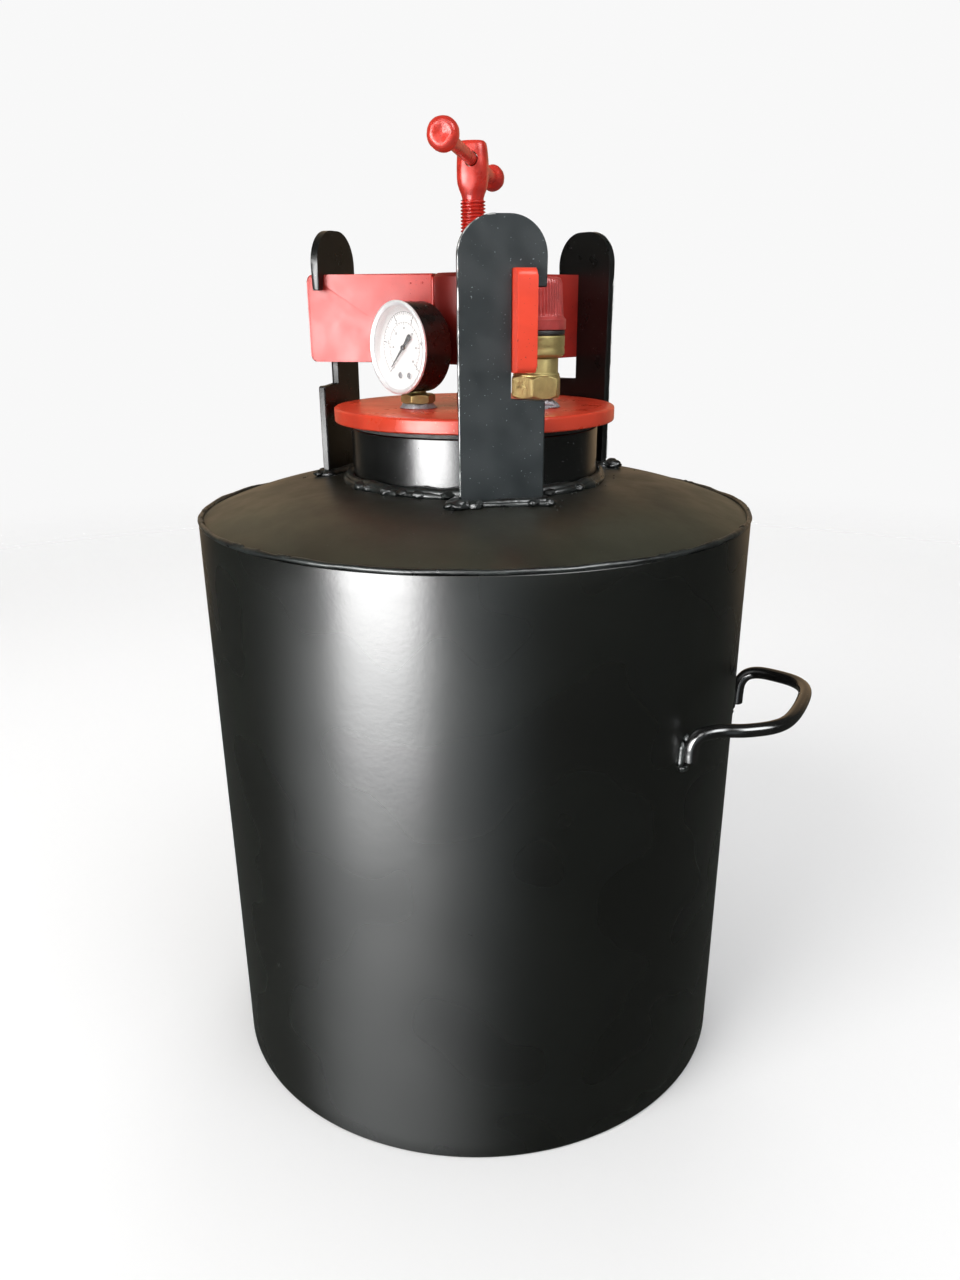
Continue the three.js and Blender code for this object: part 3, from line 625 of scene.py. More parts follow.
for i, ang in enumerate(POST_ANGLES):
    geo = prism(post_outline(), 0.0, POST_T, 0.75, 1)
    # the front post takes the lighter post paint (painted sheen), the back posts the darker copy (painted shade)
    make(f"hook_plate_{i + 1}", moved(geo, radial_matrix(ang, POST_IN)), "black_paint_posts", nodes=[f"hook_post_{i + 1}"],
         mat=None if abs(ang + 52.8) < 1 else M["post_back"])
    # painted highlight: a light grey strip along one edge of the plate and round its top
    face = POST_IN + POST_T - 0.30
    line = [(S0 + 0.30, POST_Z0 + 5 + 127.0 * k / 90) for k in range(91)]
    line += [(S0 + 21.5 - 21.2 * math.cos(rad(90 * k / 24)), POST_TOP - 21.5 + 21.2 * math.sin(rad(90 * k / 24))) for k in range(1, 25)]
    wear = [polar(ang, face, x, zz) for x, zz in line]
    strip = sweep(wear, 0.50, 8, fn=lambda k, t, a: max(0.35, min(1.15, 0.8 + 0.9 * ns(k * 0.21, 3.0 * i, 0.5, 44))))
    make(f"edge_wear_{i + 1}", strip, "black_paint_posts", mat=M["edge_wear"], sharp=60)
    # weld round the foot: two passes and some spatter on the top plate
    z = POST_Z0 + 0.9
    o = 1.4
    ring = [(S0 - o, POST_IN - o), (S1 + o, POST_IN - o), (S1 + o, POST_IN + POST_T + o), (S0 - o, POST_IN + POST_T + o)]
    ring = fillet(ring, 1.6, 4)
    path = [polar(ang, y, x, z + 0.4 * ns(x * 0.2, y * 0.2, i)) for x, y in ring]
    parts = [bead(path, 2.7, 50 + i, closed=True, pitch=6.0, step=0.85, lump=0.55, sides=14, fine=0.3)]
    ring2 = fillet([(S0 - 3.0, POST_IN - 2.6), (S1 + 3.0, POST_IN - 2.6), (S1 + 3.0, POST_IN + POST_T + 3.0), (S0 - 3.0, POST_IN + POST_T + 3.0)], 2.5, 4)
    path = [polar(ang, y, x, z - 0.9 + 0.4 * ns(x * 0.2, y * 0.2, i + 7)) for x, y in ring2]
    parts.append(bead(path, 2.1, 60 + i, closed=True, pitch=9.0, step=0.85, lump=0.6, sides=12, fine=0.25))
    for sx, sy, big in ((S0 - 2.6, POST_IN + POST_T + 2.8, 6.2), (S0 + 9.0, POST_IN + POST_T + 3.0, 4.4), (S1 - 7.0, POST_IN + POST_T + 2.4, 4.0), (S0 - 2.0, POST_IN + 1.0, 3.2), (S1 + 3.0, POST_IN + POST_T + 1.8, 3.8), (S1 + 1.5, POST_IN - 1.0, 2.6)):
        p = polar(ang, sy, sx, POST_Z0 + 0.6)
        parts.append(blob(p, big, 400 + i * 7 + int(big * 10), (1.15, 1.15, 0.62), 14, 22, 0.34))
    rng = random.Random(70 + i)
    for k in range(20):
        s = rng.choice((S0 - 5, S1 + 5, 0)) + rng.gauss(0, 6)
        y = POST_IN + (POST_T + rng.uniform(4, 14) if rng.random() < 0.7 else -rng.uniform(3, 7))
        size = rng.uniform(0.25, 0.75)
        p = polar(ang, y, s, 0)
        rr = math.hypot(p.x, p.y)
        parts.append(blob((p.x, p.y, dome_z(rr) + 0.15 * size), size, 200 + k, (1.25, 1.25, 0.7)))
    make(f"foot_weld_{i + 1}", merge(*parts), "black_paint_weld", nodes=[f"post_weld_{i + 1}"], sharp=60)

# ------------------------------------------------------------------ carry handles
H_PATH = [(-69, 0, -14), (-69, 0, -9), (-68.8, 0.6, -2.6), (-67, 4, 2.9), (-63.5, 9.5, 4.9), (-58.5, 17, 5.6), (-52, 30, 5.6),
          (-40, 43.5, 5.6), (-24, 50.5, 5.4), (5, 53, 5.1), (36, 51.2, 4.6), (54, 42, 3.5), (66, 26, 1.6), (71, 13, 0.2),
          (71, 5, -2.7), (69.4, 1, -8.4), (69, 0, -16), (69, 0, -25)]
FOOT_V = math.sqrt((BODY_R + HANDLE_R + 0.35) ** 2 - 69 ** 2)


def handle_point(ang, u, v, z):
    t = rad(ang)
    u = -u if ang > 90 else u
    out = FOOT_V + v
    return Vector((out * math.cos(t) - u * math.sin(t), out * math.sin(t) + u * math.cos(t), HANDLE_Z + z))


weld_no = 0
for name, ang in (("right", 3), ("left", 177)):
    path = catmull([handle_point(ang, *p) for p in H_PATH], 9)
    bar = sweep(path, HANDLE_R - 0.03, 24, fn=lambda i, s, a: (0.86 if i in (0, len(path) - 1) else 0.985) + 0.012 * ns(i * 0.13, math.cos(a), math.sin(a), 3))
    make(f"handle_bar_{name}", bar, "black_paint_handles", nodes=[f"carry_handle_{name}"], sharp=50)
    for side in (-1, 1):
        foot = handle_point(ang, side * 69, 0, -14 if side < 0 else -25)
        d = math.atan2(foot.y, foot.x)
        weld_no += 1
        parts = []
        for sgn in (-1, 1):
            pts = []
            for k in range(12):
                z = foot.z - 4.0 + 17.0 * k / 11
                off = sgn * (4.5 - 1.0 * (k / 11) ** 2) / 191.0
                pts.append(Vector(((190.9) * math.cos(d + off), (190.9) * math.sin(d + off), z)))
            parts.append(bead(pts, 2.5, 90 + weld_no * 3 + sgn, pitch=5.0, step=0.8, lump=0.5, fine=0.35))
        pts = [Vector((190.6 * math.cos(d + w / 191.0), 190.6 * math.sin(d + w / 191.0), foot.z - 5.5 - 1.2 * math.cos(w * 0.5))) for w in (-4, -2.5, -1, 0.5, 2, 3.5, 4.5)]
        parts.append(bead(pts, 2.3, 120 + weld_no, pitch=2.6, step=0.8, lump=0.3))
        parts.append(blob((191.3 * math.cos(d), 191.3 * math.sin(d), foot.z + 14.5), 2.4, weld_no, (1, 1, 1.2)))
        make(f"handle_foot_weld_{weld_no}", merge(*parts), "black_paint_weld", nodes=[f"handle_weld_{weld_no}"], sharp=60)

# ------------------------------------------------------------------ lid and pad
lid_prof = fillet([(0, LID_Z0), (LID_R, LID_Z0), (LID_R, LID_Z1), (0, LID_Z1)], {1: 1.2, 2: 1.5}, 4, closed=False)
lid_prof = dense(lid_prof, 7.0, closed=False)


def lid_fn(a, i, r, z):
    e = 0.05 * ns(math.cos(a) * 14, math.sin(a) * 14, z * 0.4, 21) if r > 90 else 0.0
    return (r - 0.06 + e if r > 1 else r), z


make("lid_disc", lathe(lid_prof, 256, fn=lid_fn), "red_paint_lid", nodes=["lid_plate"])
pad_prof = fillet([(0, 479.4), (12, 479.4), (12, 487.4), (6.2, 487.4), (5.7, 486.6), (5.7, 483.5), (0, 483.5)], {1: 0.4, 2: 1.2}, 4, closed=False)
make("screw_pad", lathe(pad_prof, 72), "red_paint_yoke", nodes=["thrust_pad"])

# ------------------------------------------------------------------ yoke
hub_prof = fillet([(8.4, ARM_Z0), (24, ARM_Z0), (26, ARM_Z0 + 2), (26, ARM_Z1 - 2.4), (23.6, ARM_Z1), (8.4, ARM_Z1)], {0: 0.5, 1: 0.5, 2: 0.5, 3: 0.5, 4: 0.5, 5: 0.8}, 3)
# the hub gets the darker copy of the yoke red: painted shade
make("hub", lathe(hub_prof, 96, fn=lambda a, i, r, z: (r if r < 20 else r - 0.05 + 0.05 * ns(math.cos(a) * 5, math.sin(a) * 5, z * 0.08, 23), z)),
     "red_paint_yoke", body="yoke", nodes=["yoke_hub"], mat=M["red_hub"])
for i, pa in enumerate(POST_ANGLES):
    ang = pa + 7.0
    outline = fillet([(26.35, ARM_Z0), (115, ARM_Z0), (115, ARM_Z1), (26.35, ARM_Z1)], {1: 4.0, 2: 4.0}, 7)
    geo = prism(outline, -6.0, 6.0, 0.9, 3)
    t = rad(ang)
    m = Matrix(((math.cos(t), 0, math.sin(t), 0), (math.sin(t), 0, -math.cos(t), 0), (0, 1, 0, 0), (0, 0, 0, 1)))
    # the front arm gets the brighter copy of the yoke red (painted light), the other arms the plain yoke red
    make(f"arm_bar_{i + 1}", moved(geo, m), "red_paint_yoke", body="yoke", nodes=[f"yoke_arm_{i + 1}"],
         mat=M["red_arm_front"] if abs(pa + 52.8) < 1 else None)
    parts = []
    for sgn in (-1, 1):
        pts = [polar(ang, 26.4 - 0.55, sgn * (6.3 + 0.3 * ns(z * 0.1, sgn, i)), z) for z in [ARM_Z0 + 1.5 + 52.6 * k / 20 for k in range(21)]]
        parts.append(bead(pts, 1.35, 140 + i * 2 + sgn, pitch=2.6, step=0.8, lump=0.3))
    rng = random.Random(150 + i)
    for k in range(16):
        sgn = rng.choice((-1, 1))
        s = rng.uniform(0.3, 0.8)
        p = polar(ang, rng.uniform(29, 42), sgn * 6.0, rng.uniform(ARM_Z0 + 3, ARM_Z1 - 3))
        parts.append(blob(p, s, 300 + k, (1, 1, 1)))
    make(f"arm_weld_{i + 1}", merge(*parts), "red_paint_yoke", body="yoke", sharp=60)

# ------------------------------------------------------------------ clamp screw and tommy bar
PITCH_MM, SEG = 2.0, 40
rows = []
z = 489.4
while z < 604.0:
    rows.append(z)
    z += PITCH_MM / 8
verts, faces = [], []
for zz in rows:
    for k in range(SEG):
        a = 2 * PI * k / SEG
        f = ((zz - a / (2 * PI) * PITCH_MM) / PITCH_MM) % 1.0
        tri = 1 - abs(2 * f - 1)
        h = min(1.0, max(0.0, (tri - 0.08) / 0.72))
        fade = min(1.0, (zz - 488.6) / 2.0)
        worn = 0.10 * ns(math.cos(a) * 1.5, math.sin(a) * 1.5, zz * 0.3, 31)
        r = 8.0 - (1.35 + worn) * (1 - h) * fade
        r = min(r, 8.0)
        verts.append((r * math.cos(a), r * math.sin(a), zz))
for i in range(len(rows) - 1):
    for k in range(SEG):
        l = (k + 1) % SEG
        faces.append((i * SEG + k, i * SEG + l, (i + 1) * SEG + l, (i + 1) * SEG + k))
faces.append(tuple(range(SEG))[::-1])
faces.append(tuple((len(rows) - 1) * SEG + k for k in range(SEG)))
thread = (verts, faces)
tip = lathe(fillet([(0, 483.9), (3.6, 483.9), (5.2, 485.4), (5.2, 488.4), (6.9, 488.4), (6.9, 490.0), (0, 490.0)], {1: 0.6, 2: 0.3}, 3, closed=False), 40)
head_prof = [(0, 600.5), (6.5, 600.5), (6.75, 603.6), (6.9, 605.2), (7.7, 607.4), (9.1, 610.0), (10.3, 613.2), (10.8, 616.8), (10.95, 621),
             (10.75, 625), (10.5, 629), (10.25, 632), (9.9, 634.3), (9.3, 636.1), (8.3, 637.0), (6.5, 637.15), (0, 637.15)]
head_prof = dense(head_prof, 1.6, closed=False)


def head_fn(a, i, r, z):
    if r < 0.5:
        return r, z
    k = max(0.0, min(1.0, (z - 606) / 7))
    b = a - rad(BAR_ANGLE)
    sq = (abs(math.cos(b)) ** 3.2 + abs(math.sin(b)) ** 3.2) ** (-1 / 3.2)
    lump = 0.25 * ns(math.cos(a) * 1.2, math.sin(a) * 1.2, z * 0.16, 33)
    return r * ((1 - k) + k * (0.905 * sq)) + (lump if r > 4 else 0) * k, z - (0.12 + 0.1 * ns(math.cos(a) * r * 0.2, math.sin(a) * r * 0.2, 2, 34)) * k


screw = make("screw_body", merge(thread, tip, lathe(head_prof, 72, fn=head_fn)), "red_paint_screw", body="screw", nodes=["clamp_screw"], sharp=32)


def bored(obj, radius, centre, angle, half):
    """Cuts a round hole along a horizontal direction through a finished piece."""
    bm = bmesh.new()
    bmesh.ops.create_cone(bm, cap_ends=True, segments=40, radius1=radius * MM, radius2=radius * MM, depth=2 * half * MM)
    me = bpy.data.meshes.new("tool")
    bm.to_mesh(me)
    bm.free()
    tool = bpy.data.objects.new("tool", me)
    scene.collection.objects.link(tool)
    tool.matrix_world = Matrix.Translation(Vector(centre) * MM) @ Matrix.Rotation(rad(angle), 4, "Z") @ Matrix.Rotation(PI / 2, 4, "Y")
    md = obj.modifiers.new("hole", "BOOLEAN")
    md.operation = "DIFFERENCE"
    md.solver = "EXACT"
    md.object = tool
    bpy.context.view_layer.update()
    dg = bpy.context.evaluated_depsgraph_get()
    out = bpy.data.meshes.new_from_object(obj.evaluated_get(dg))
    obj.modifiers.clear()
    old = obj.data
    obj.data = out
    bpy.data.meshes.remove(old)
    bpy.data.objects.remove(tool)
    bm = bmesh.new()
    bm.from_mesh(out)
    for f in bm.faces:
        f.smooth = True
    for e in bm.edges:
        if len(e.link_faces) == 2:
            e.smooth = e.calc_face_angle(0.0) < rad(34)
    bm.to_mesh(out)
    bm.free()


bored(screw, 4.45, (0, 0, BAR_Z), BAR_ANGLE, 20)


def knob(c, r, s):
    pts = [(3.75, c - s * r * 1.02), (r * 0.60, c - s * r * 0.86), (r * 0.86, c - s * r * 0.56), (r * 0.98, c - s * r * 0.20), (r, c + s * r * 0.08),
           (r * 0.95, c + s * r * 0.38), (r * 0.84, c + s * r * 0.58), (r * 0.66, c + s * r * 0.68), (r * 0.40, c + s * r * 0.62), (r * 0.18, c + s * r * 0.52), (0, c + s * r * 0.50)]
    return pts


near, far = knob(108.0, 8.7, 1), knob(-98.5, 8.7, -1)
bar_prof = dense(far[::-1] + near, 1.2, closed=False)


def bar_fn(a, i, r, z):
    if r < 0.3:
        return r, z
    k = 1.0 if abs(z) > 90 else 0.12
    e = 0.42 * ns(math.cos(a) * 1.5, math.sin(a) * 1.5, z * 0.17, 36) + 0.18 * ns(math.cos(a) * 4, math.sin(a) * 4, z * 0.5, 37)
    return max(0.2, min(r + e * k, 9.2)), z


bar_m = Matrix.Translation((0, 0, BAR_Z)) @ Matrix.Rotation(rad(BAR_ANGLE), 4, "Z") @ Matrix.Rotation(PI / 2, 4, "Y")
make("bar_with_knobs", moved(lathe(bar_prof, 40, fn=bar_fn), bar_m), "red_paint_screw", body="tommy_bar", nodes=["tommy_bar"], sharp=60)

# ------------------------------------------------------------------ pressure gauge
gt = rad(-109)
GM = Matrix(((-math.sin(gt), 0, math.cos(gt), GAUGE[0]), (math.cos(gt), 0, math.sin(gt), GAUGE[1]), (0, 1, 0, GAUGE[2]), (0, 0, 0, 1)))
case_prof = fillet([(0, -7), (27.6, -7), (27.6, 14.4), (26.8, 14.4), (26.8, -5.8), (0, -5.8)], {1: 2.2, 2: 0.4, 3: 0.3}, 5, closed=False)
make("gauge_cup", moved(lathe(dense(case_prof, 5, closed=False), 120), GM), "gauge_black", nodes=["gauge_case"])
bez_prof = fillet([(25.3, 14.7), (28.45, 14.7), (28.45, 16.6), (27.2, 17.1), (25.9, 16.5), (25.3, 16.2)], {1: 0.5, 2: 0.7, 3: 0.8, 4: 0.3}, 4)
make("gauge_rim", moved(lathe(bez_prof, 144), GM), "gauge_ring", nodes=["gauge_bezel"])
make("gauge_window", moved(lathe([(0, 14.95), (25.0, 14.95), (25.1, 15.1), (25.1, 15.9), (24.9, 16.1), (0, 16.15)], 96), GM), "gauge_glass", nodes=["gauge_lens"])
dial_prof = fillet([(0, 9.4), (26.6, 9.4), (26.6, 14.3), (25.9, 14.3), (25.8, 11.0), (25.3, 10.2), (0, 10.2)], {1: 0.1, 2: 0.1, 3: 0.1}, 2, closed=False)
make("dial_plate", moved(lathe(dense(dial_prof, 5, closed=False), 96), GM), "gauge_white", nodes=["gauge_dial"])


def flat_bar(u0, v0, u1, v1, w, z0=10.2, z1=10.24):
    d = Vector((u1 - u0, v1 - v0)).normalized()
    n = Vector((-d.y, d.x)) * (w / 2)
    q = [(u0 + n.x, v0 + n.y), (u1 + n.x, v1 + n.y), (u1 - n.x, v1 - n.y), (u0 - n.x, v0 - n.y)]
    verts = [(x, y, z0 - 0.02) for x, y in q] + [(x, y, z1) for x, y in q]
    return verts, [(3, 2, 1, 0), (4, 5, 6, 7), (0, 1, 5, 4), (1, 2, 6, 5), (2, 3, 7, 6), (3, 0, 4, 7)]


def arc_band(r0, r1, a0, a1, n=60, z1=10.24):
    verts, faces = [], []
    for k in range(n + 1):
        a = a0 + (a1 - a0) * k / n
        for r, z in ((r0, 10.18), (r1, 10.18), (r1, z1), (r0, z1)):
            verts.append((r * math.cos(a), r * math.sin(a), z))
    for k in range(n):
        for j in range(4):
            l = (j + 1) % 4
            faces.append((k * 4 + j, k * 4 + l, (k + 1) * 4 + l, (k + 1) * 4 + j))
    faces += [(3, 2, 1, 0), (n * 4, n * 4 + 1, n * 4 + 2, n * 4 + 3)]
    return verts, faces


marks = [arc_band(21.6, 21.76, rad(225), rad(-45), 90), arc_band(15.3, 15.44, rad(225), rad(-45), 90)]
for k in range(51):
    a = rad(225 - 270 * k / 50)
    long_ = k % 10 == 0
    mid = k % 5 == 0
    r0 = 18.4 if long_ else (19.6 if mid else 20.4)
    marks.append(flat_bar(r0 * math.cos(a), r0 * math.sin(a), 21.7 * math.cos(a), 21.7 * math.sin(a), 0.42 if long_ else 0.18))
for k in range(31):
    a = rad(225 - 270 * k / 30)
    r1 = 13.6 if k % 5 == 0 else 14.5
    marks.append(flat_bar(r1 * math.cos(a), r1 * math.sin(a), 15.4 * math.cos(a), 15.4 * math.sin(a), 0.26 if k % 5 == 0 else 0.15))
make("dial_marks", moved(merge(*marks), GM), "pointer_black")


def number(text, u, v, size):
    """Plain numerals as a thin raised mesh on the dial."""
    cu = bpy.data.curves.new("num", "FONT")
    cu.body = text
    cu.size = size * MM
    cu.align_x = "CENTER"
    cu.align_y = "CENTER"
    cu.extrude = 0.02 * MM
    ob = bpy.data.objects.new("num", cu)
    scene.collection.objects.link(ob)
    bpy.context.view_layer.update()
    me = bpy.data.meshes.new_from_object(ob.evaluated_get(bpy.context.evaluated_depsgraph_get()))
    geo = ([(v_.co.x / MM + u, v_.co.y / MM + v, v_.co.z / MM + 10.22) for v_ in me.vertices], [tuple(p.vertices) for p in me.polygons])
    bpy.data.objects.remove(ob)
    bpy.data.curves.remove(cu)
    bpy.data.meshes.remove(me)
    return geo


nums = []
for k in range(6):
    a = rad(225 - 54 * k)
    nums.append(number(str(k), 17.0 * math.cos(a), 17.0 * math.sin(a), 3.6))
for k in range(7):
    a = rad(225 - 45 * k)
    nums.append(number(str(10 * k), 11.7 * math.cos(a), 11.7 * math.sin(a), 1.9))
make("dial_numbers", moved(merge(*nums), GM), "pointer_black", sharp=30)
for i, x in enumerate((-4.6, 4.6)):
    prof = fillet([(0, 7.6), (1.1, 7.6), (1.1, 10.45), (1.9, 10.45), (1.9, 10.95), (0, 11.15)], {3: 0.15, 4: 0.25}, 3, closed=False)

    def slot_fn(a, j, r, z, x=x):
        return r, z - (0.28 if (abs(r * math.sin(a - 0.6)) < 0.28 and z > 10.8) else 0)

    g = lathe(dense(prof, 0.3, closed=False), 40, (x, -17), slot_fn)
    make(f"dial_screw_head_{i + 1}", moved(g, GM), "bare_steel", nodes=[f"dial_screw_{i + 1}"])

# pointer: a tapered needle with a broad tail and a boss
pt = [(-0.50, -1.2), (-0.16, -17.4), (0.0, -17.6), (0.16, -17.4), (0.50, -1.2), (1.25, 0), (0.7, 1.3), (0.75, 3.4), (1.75, 9.2), (1.1, 10.6), (0, 11.0), (-1.1, 10.6), (-1.75, 9.2), (-0.75, 3.4), (-0.7, 1.3), (-1.25, 0)]
pgeo = prism(pt, 11.4, 12.0, 0.12, 2)
boss = lathe(fillet([(0, 11.2), (1.5, 11.2), (1.5, 12.3), (1.1, 12.75), (0, 12.8)], {2: 0.2, 3: 0.2}, 3, closed=False), 40)
make("needle", moved(merge(moved(pgeo, Matrix.Rotation(rad(-45), 4, "Z")), boss), GM), "pointer_black", body="gauge_pointer", nodes=["gauge_pointer"])

gx, gy = GAUGE[0], GAUGE[1]
sock = merge(hexed(20, 482.3, 488.15, -51, (gx, gy), 1.1), lathe([(0, 466.5), (6.5, 466.5), (6.5, 482.4), (0, 482.4)], 40, (gx, gy)),
             lathe(fillet([(0, 487.9), (6.4, 487.9), (5.3, 489.2), (5.3, 496), (0, 496)], {2: 0.8}, 4, closed=False), 48, (gx, gy)))
make("gauge_hex_socket", sock, "brass", nodes=["gauge_socket"], sharp=25)


def paste(c, prof, seed, amp, seg=72):
    def fn(a, i, r, z):
        if i in (0, len(prof) - 1):
            return r, z
        e = amp * ns(math.cos(a) * 2.4, math.sin(a) * 2.4, i * 0.35, seed) + 0.5 * amp * ns(math.cos(a) * 7, math.sin(a) * 7, i * 0.8, seed + 1)
        top = 0.35 * amp * ns(math.cos(a) * 3, math.sin(a) * 3, i * 0.5, seed + 2)
        return r + e, max(479.15, z + (top if z > 479.6 else 0))
    return lathe(prof, seg, c, fn)


g_prof = [(6.4, 479.2), (9.0, 479.15), (11.6, 479.15), (12.3, 479.6), (11.6, 480.4), (10.9, 481.2), (10.2, 482.0), (9.2, 482.3), (6.4, 482.2)]
make("gauge_thread_paste", paste((gx, gy), g_prof, 61, 1.1), "sealing_paste", nodes=["gauge_sealant"], sharp=70)

# ------------------------------------------------------------------ safety valve
vx, vy = VALVE
vb = [hexed(30, 485.3, 499.6, -41.4, (vx, vy), 2.2)]
vb.append(lathe([(0, 465.8), (8.9, 465.8), (8.9, 485.6), (0, 485.6)], 48, (vx, vy)))
vb.append(lathe(fillet([(11.4, 499.0), (15.2, 499.0), (15.2, 500.2), (14.2, 501.2), (14.2, 510.5), (11.4, 510.5)], {1: 0.2, 2: 0.6, 3: 0.6, 4: 0.7, 5: 0.4}, 3), 72, (vx, vy)))
out_m = Matrix.Translation((vx, vy, 498.2)) @ Matrix.Rotation(rad(118), 4, "Z") @ Matrix.Rotation(PI / 2, 4, "Y")
boss_prof = fillet([(0, 8.0), (11.6, 8.0), (11.6, 19.0), (7.0, 19.0), (7.0, 9.5), (0, 9.5)], {2: 0.9, 3: 0.7}, 3, closed=False)
vb.append(moved(lathe(boss_prof, 72), out_m))
make("valve_hex_body", merge(*vb), "brass", nodes=["valve_body"], sharp=25)
v_prof = [(9.2, 479.2), (12.0, 479.15), (14.2, 479.15), (15.4, 479.7), (14.4, 480.8), (13.6, 482.0), (12.4, 483.4), (11.0, 484.6), (9.2, 484.8)]
make("valve_thread_paste", paste((vx, vy), v_prof, 64, 2.6), "sealing_paste", nodes=["valve_sealant"], sharp=70)
bon = fillet([(12.4, 510.85), (16.6, 510.85), (18.1, 512.4), (18.1, 523.9), (3.1, 523.9), (3.1, 521.6), (12.4, 521.6)], {1: 0.4, 2: 0.5, 3: 0.6}, 3)
make("valve_bonnet_ring", lathe(dense(bon, 1.2), 96, (vx, vy), lambda a, i, r, z: (r - (0.22 if (r > 17.9 and 516.6 < z < 517.6) else 0), z)), "brass", nodes=["valve_bonnet"], sharp=25)
make("valve_black_ring", lathe(fillet([(3.4, 524.2), (18.1, 524.2), (18.1, 527.0), (3.4, 527.0)], {1: 0.6, 2: 0.6}, 4), 96, (vx, vy)), "black_plastic", nodes=["valve_ring"])
cap = fillet([(10.4, 527.35), (18.6, 527.35), (18.6, 533.4), (17.6, 534.4), (16.9, 535.4), (15.6, 555.0), (14.6, 557.6), (12.6, 558.5), (0, 558.6), (0, 552.6), (10.4, 552.4)], {1: 0.5, 2: 0.5, 4: 0.4, 6: 1.0, 7: 0.8}, 3)
cap = dense(cap, 1.3)


def cap_fn(a, i, r, z):
    if r > 13.6 and 535.2 < z < 556.8:
        k = min(1.0, (z - 535.2) / 1.0, (556.8 - z) / 1.2)
        tooth = 0.5 + 0.5 * math.cos(a * 44)
        return r - 0.55 * k * (1 - min(1.0, tooth * 1.6)), z
    if 17.9 < r and 528 < z < 533.3:
        return r - 0.12 * (0.5 - 0.5 * math.cos(a * 88)), z
    return r, z


make("valve_red_cap", lathe(cap, 352, (vx, vy), cap_fn), "red_plastic", body="valve_knob", nodes=["valve_knob"], sharp=35)
# cast arrow that shows the flow, on the hexagon's face
arrow = [(-3.6, -0.55), (0.8, -0.55), (0.8, -1.8), (3.6, 0), (0.8, 1.8), (0.8, 0.55), (-3.6, 0.55)]
make("flow_arrow", moved(prism(arrow, -0.1, 0.35, 0.12, 2), Matrix.Translation((vx, vy, 492.6)) @ radial_matrix(-101.4, 15.0)), "brass", sharp=30)

# ------------------------------------------------------------------ floor, light
fm, fnt, fs, fco = new_mat("pale_floor")
fs.inputs["Base Color"].default_value = (0.86, 0.86, 0.865, 1)
fs.inputs["Roughness"].default_value = 0.9
fs.inputs["Specular IOR Level"].default_value = 0.1
sep = fnt.nodes.new("ShaderNodeVectorMath")
sep.operation = "LENGTH"
fnt.links.new(fco, sep.inputs[0])
fnt.links.new(map_range(fnt, sep.outputs["Value"], 0.9, 2.6, 1.0, 0.0), fs.inputs["Alpha"])
fv, ff = [], []
for k in range(64):
    a = 2 * PI * k / 64
    fv.append((2.7 * math.cos(a), 2.7 * math.sin(a), -0.0004))
floor_me = bpy.data.meshes.new("floor")
floor_me.from_pydata(fv, [], [tuple(range(64))])
floor = bpy.data.objects.new("floor", floor_me)
floor_me.materials.append(fm)
scene.collection.objects.link(floor)
floor.visible_glossy = False

world = bpy.data.worlds.new("studio")
scene.world = world
world.use_nodes = True
wn = world.node_tree
wn.nodes.clear()
wout = wn.nodes.new("ShaderNodeOutputWorld")
wco = wn.nodes.new("ShaderNodeTexCoord").outputs["Generated"]
sepx = wn.nodes.new("ShaderNodeSeparateXYZ")
wn.links.new(wco, sepx.inputs[0])


def direction_patch(theta, half_az, el0, el1, soft_az=7.0, soft_lo=5.0, soft_hi=6.0):
    """A soft-edged bright rectangle of the surroundings, round the heading theta (degrees from +X)."""
    mp = wn.nodes.new("ShaderNodeVectorRotate")
    mp.rotation_type = "Z_AXIS"
    mp.inputs["Angle"].default_value = -rad(theta)
    wn.links.new(wco, mp.inputs["Vector"])
    sp = wn.nodes.new("ShaderNodeSeparateXYZ")
    wn.links.new(mp.outputs["Vector"], sp.inputs[0])
    az = math_node(wn, "ARCTAN2", sp.outputs["Y"], sp.outputs["X"])
    el = math_node(wn, "ARCSINE", sp.outputs["Z"])
    left = map_range(wn, az, rad(-half_az - soft_az), rad(-half_az + soft_az), 0, 1)
    rght = map_range(wn, az, rad(half_az - soft_az), rad(half_az + soft_az), 1, 0)
    lo = map_range(wn, el, rad(el0 - soft_lo), rad(el0 + soft_lo), 0, 1)
    hi = map_range(wn, el, rad(el1 - soft_hi), rad(el1 + soft_hi), 1, 0)
    return math_node(wn, "MULTIPLY", math_node(wn, "MULTIPLY", left, rght), math_node(wn, "MULTIPLY", lo, hi))


def emit(col, strength):
    b = wn.nodes.new("ShaderNodeBackground")
    b.inputs["Color"].default_value = (*col, 1)
    if isinstance(strength, (int, float)):
        b.inputs["Strength"].default_value = strength
    else:
        wn.links.new(strength, b.inputs["Strength"])
    return b.outputs[0]


def add(a, b):
    n = wn.nodes.new("ShaderNodeAddShader")
    wn.links.new(a, n.inputs[0])
    wn.links.new(b, n.inputs[1])
    return n.outputs[0]


def pick(fac, a, b):
    n = wn.nodes.new("ShaderNodeMixShader")
    wn.links.new(fac, n.inputs[0])
    wn.links.new(a, n.inputs[1])
    wn.links.new(b, n.inputs[2])
    return n.outputs[0]


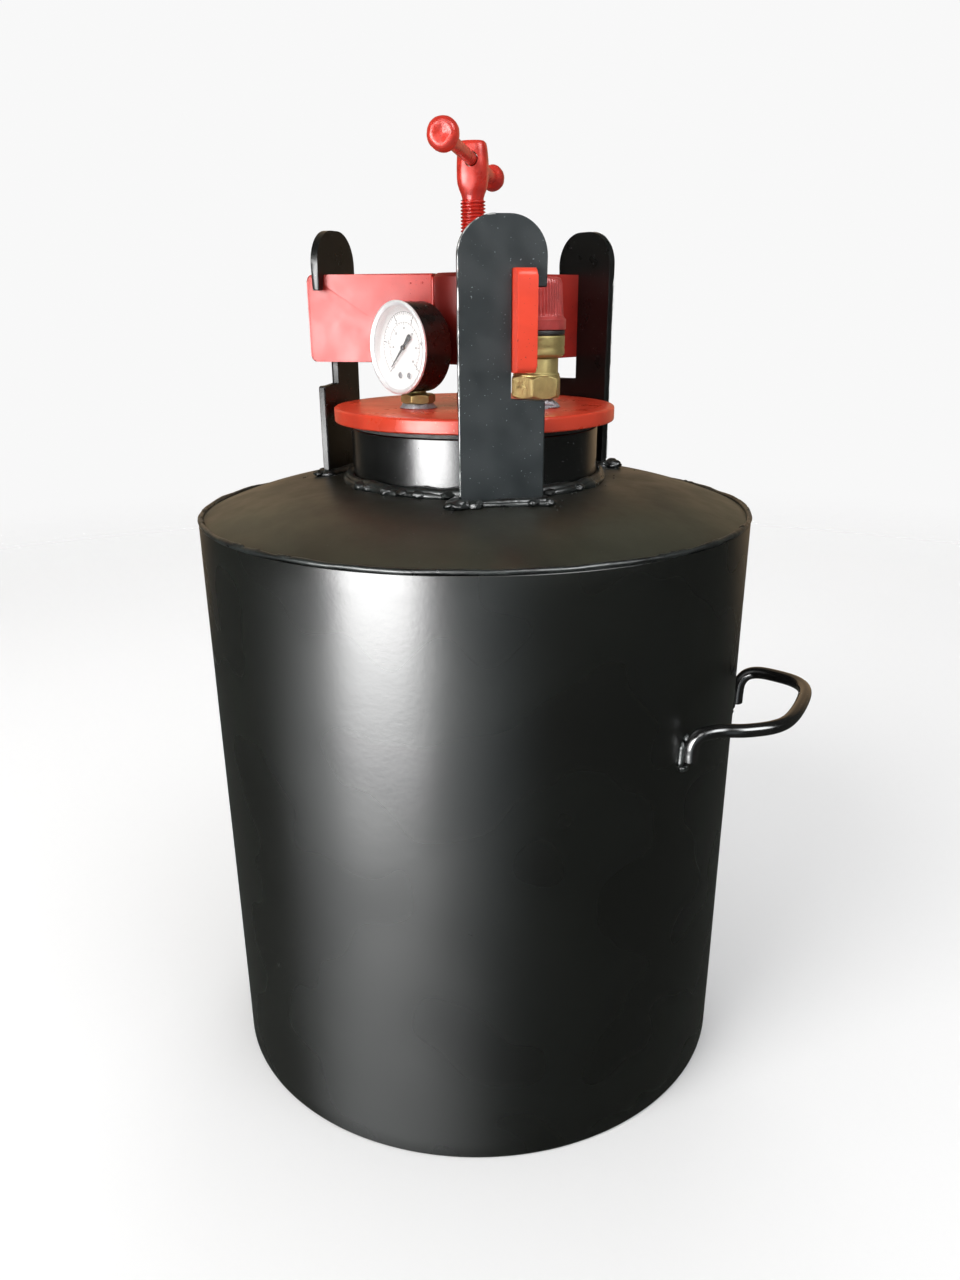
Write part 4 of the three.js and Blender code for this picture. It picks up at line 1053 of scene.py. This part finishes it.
W = {"window": 26.0, "window2": 1.2, "window3": 1.9, "high": 5.0, "side": 15.0, "back": 0.40, "amb": 0.05, "warm": 0.32, "front": 0.50}
win = emit((1.0, 1.0, 1.0), math_node(wn, "MULTIPLY", direction_patch(-99, 17, -21, 14, 6.0, 5.0, 6.0), W["window"]))
win2 = emit((0.95, 0.98, 1.0), math_node(wn, "MULTIPLY", direction_patch(-103, 34, -56, -16, 22, 14, 10), W["window2"]))
win3 = emit((0.95, 0.98, 1.0), math_node(wn, "MULTIPLY", direction_patch(-103, 34, -28, -16, 22, 8, 10), W["window3"]))
high = emit((1.0, 1.0, 1.0), math_node(wn, "MULTIPLY", direction_patch(-72, 13, 16, 48, 7, 7, 10), W["high"]))
side = emit((0.97, 0.99, 1.0), math_node(wn, "MULTIPLY", direction_patch(-20, 20, 20, 50, 9, 7, 10), W["side"]))
back = emit((1.0, 0.66, 0.36), math_node(wn, "MULTIPLY", direction_patch(115, 42, -12, 24, 12, 8, 10), W["back"]))
warm = emit((1.0, 0.72, 0.45), math_node(wn, "MULTIPLY", direction_patch(150, 35, 15, 60, 15, 10, 12), W["warm"]))
front = emit((0.80, 0.92, 1.0), math_node(wn, "MULTIPLY", direction_patch(-58, 14, -34, 12, 12, 14, 12), W["front"]))
room = emit((0.95, 1.0, 0.90), W["amb"])
seen = add(add(add(add(win, win2), add(win3, add(high, side))), front), add(add(back, warm), room))
soft = emit((1.0, 0.995, 0.985), 0.72)
page = emit((1.0, 1.0, 1.0), 0.94)
lp = wn.nodes.new("ShaderNodeLightPath")
wn.links.new(pick(lp.outputs["Is Camera Ray"], pick(lp.outputs["Is Glossy Ray"], soft, seen), page), wout.inputs["Surface"])
world.cycles.sampling_method = "NONE"


def area(name, az, el, dist, size, power, col=(1, 1, 1), target=(0, 0, 0.35), glossy=False):
    d = bpy.data.lights.new(name, "AREA")
    d.shape = "DISK"
    d.size = size
    d.energy = power
    d.color = col
    o = bpy.data.objects.new(name, d)
    scene.collection.objects.link(o)
    t = Vector(target)
    p = t + Vector((math.cos(rad(az)) * math.cos(rad(el)), math.sin(rad(az)) * math.cos(rad(el)), math.sin(rad(el)))) * dist
    o.location = p
    o.rotation_euler = (t - p).to_track_quat("-Z", "Y").to_euler()
    o.visible_glossy = glossy
    return o


area("key", -105, 38, 2.4, 1.3, 34, (1.0, 0.99, 0.97))
area("fill", -20, 50, 2.6, 1.8, 12, (0.93, 0.96, 1.0))
area("rim", 110, 45, 2.4, 1.4, 10)
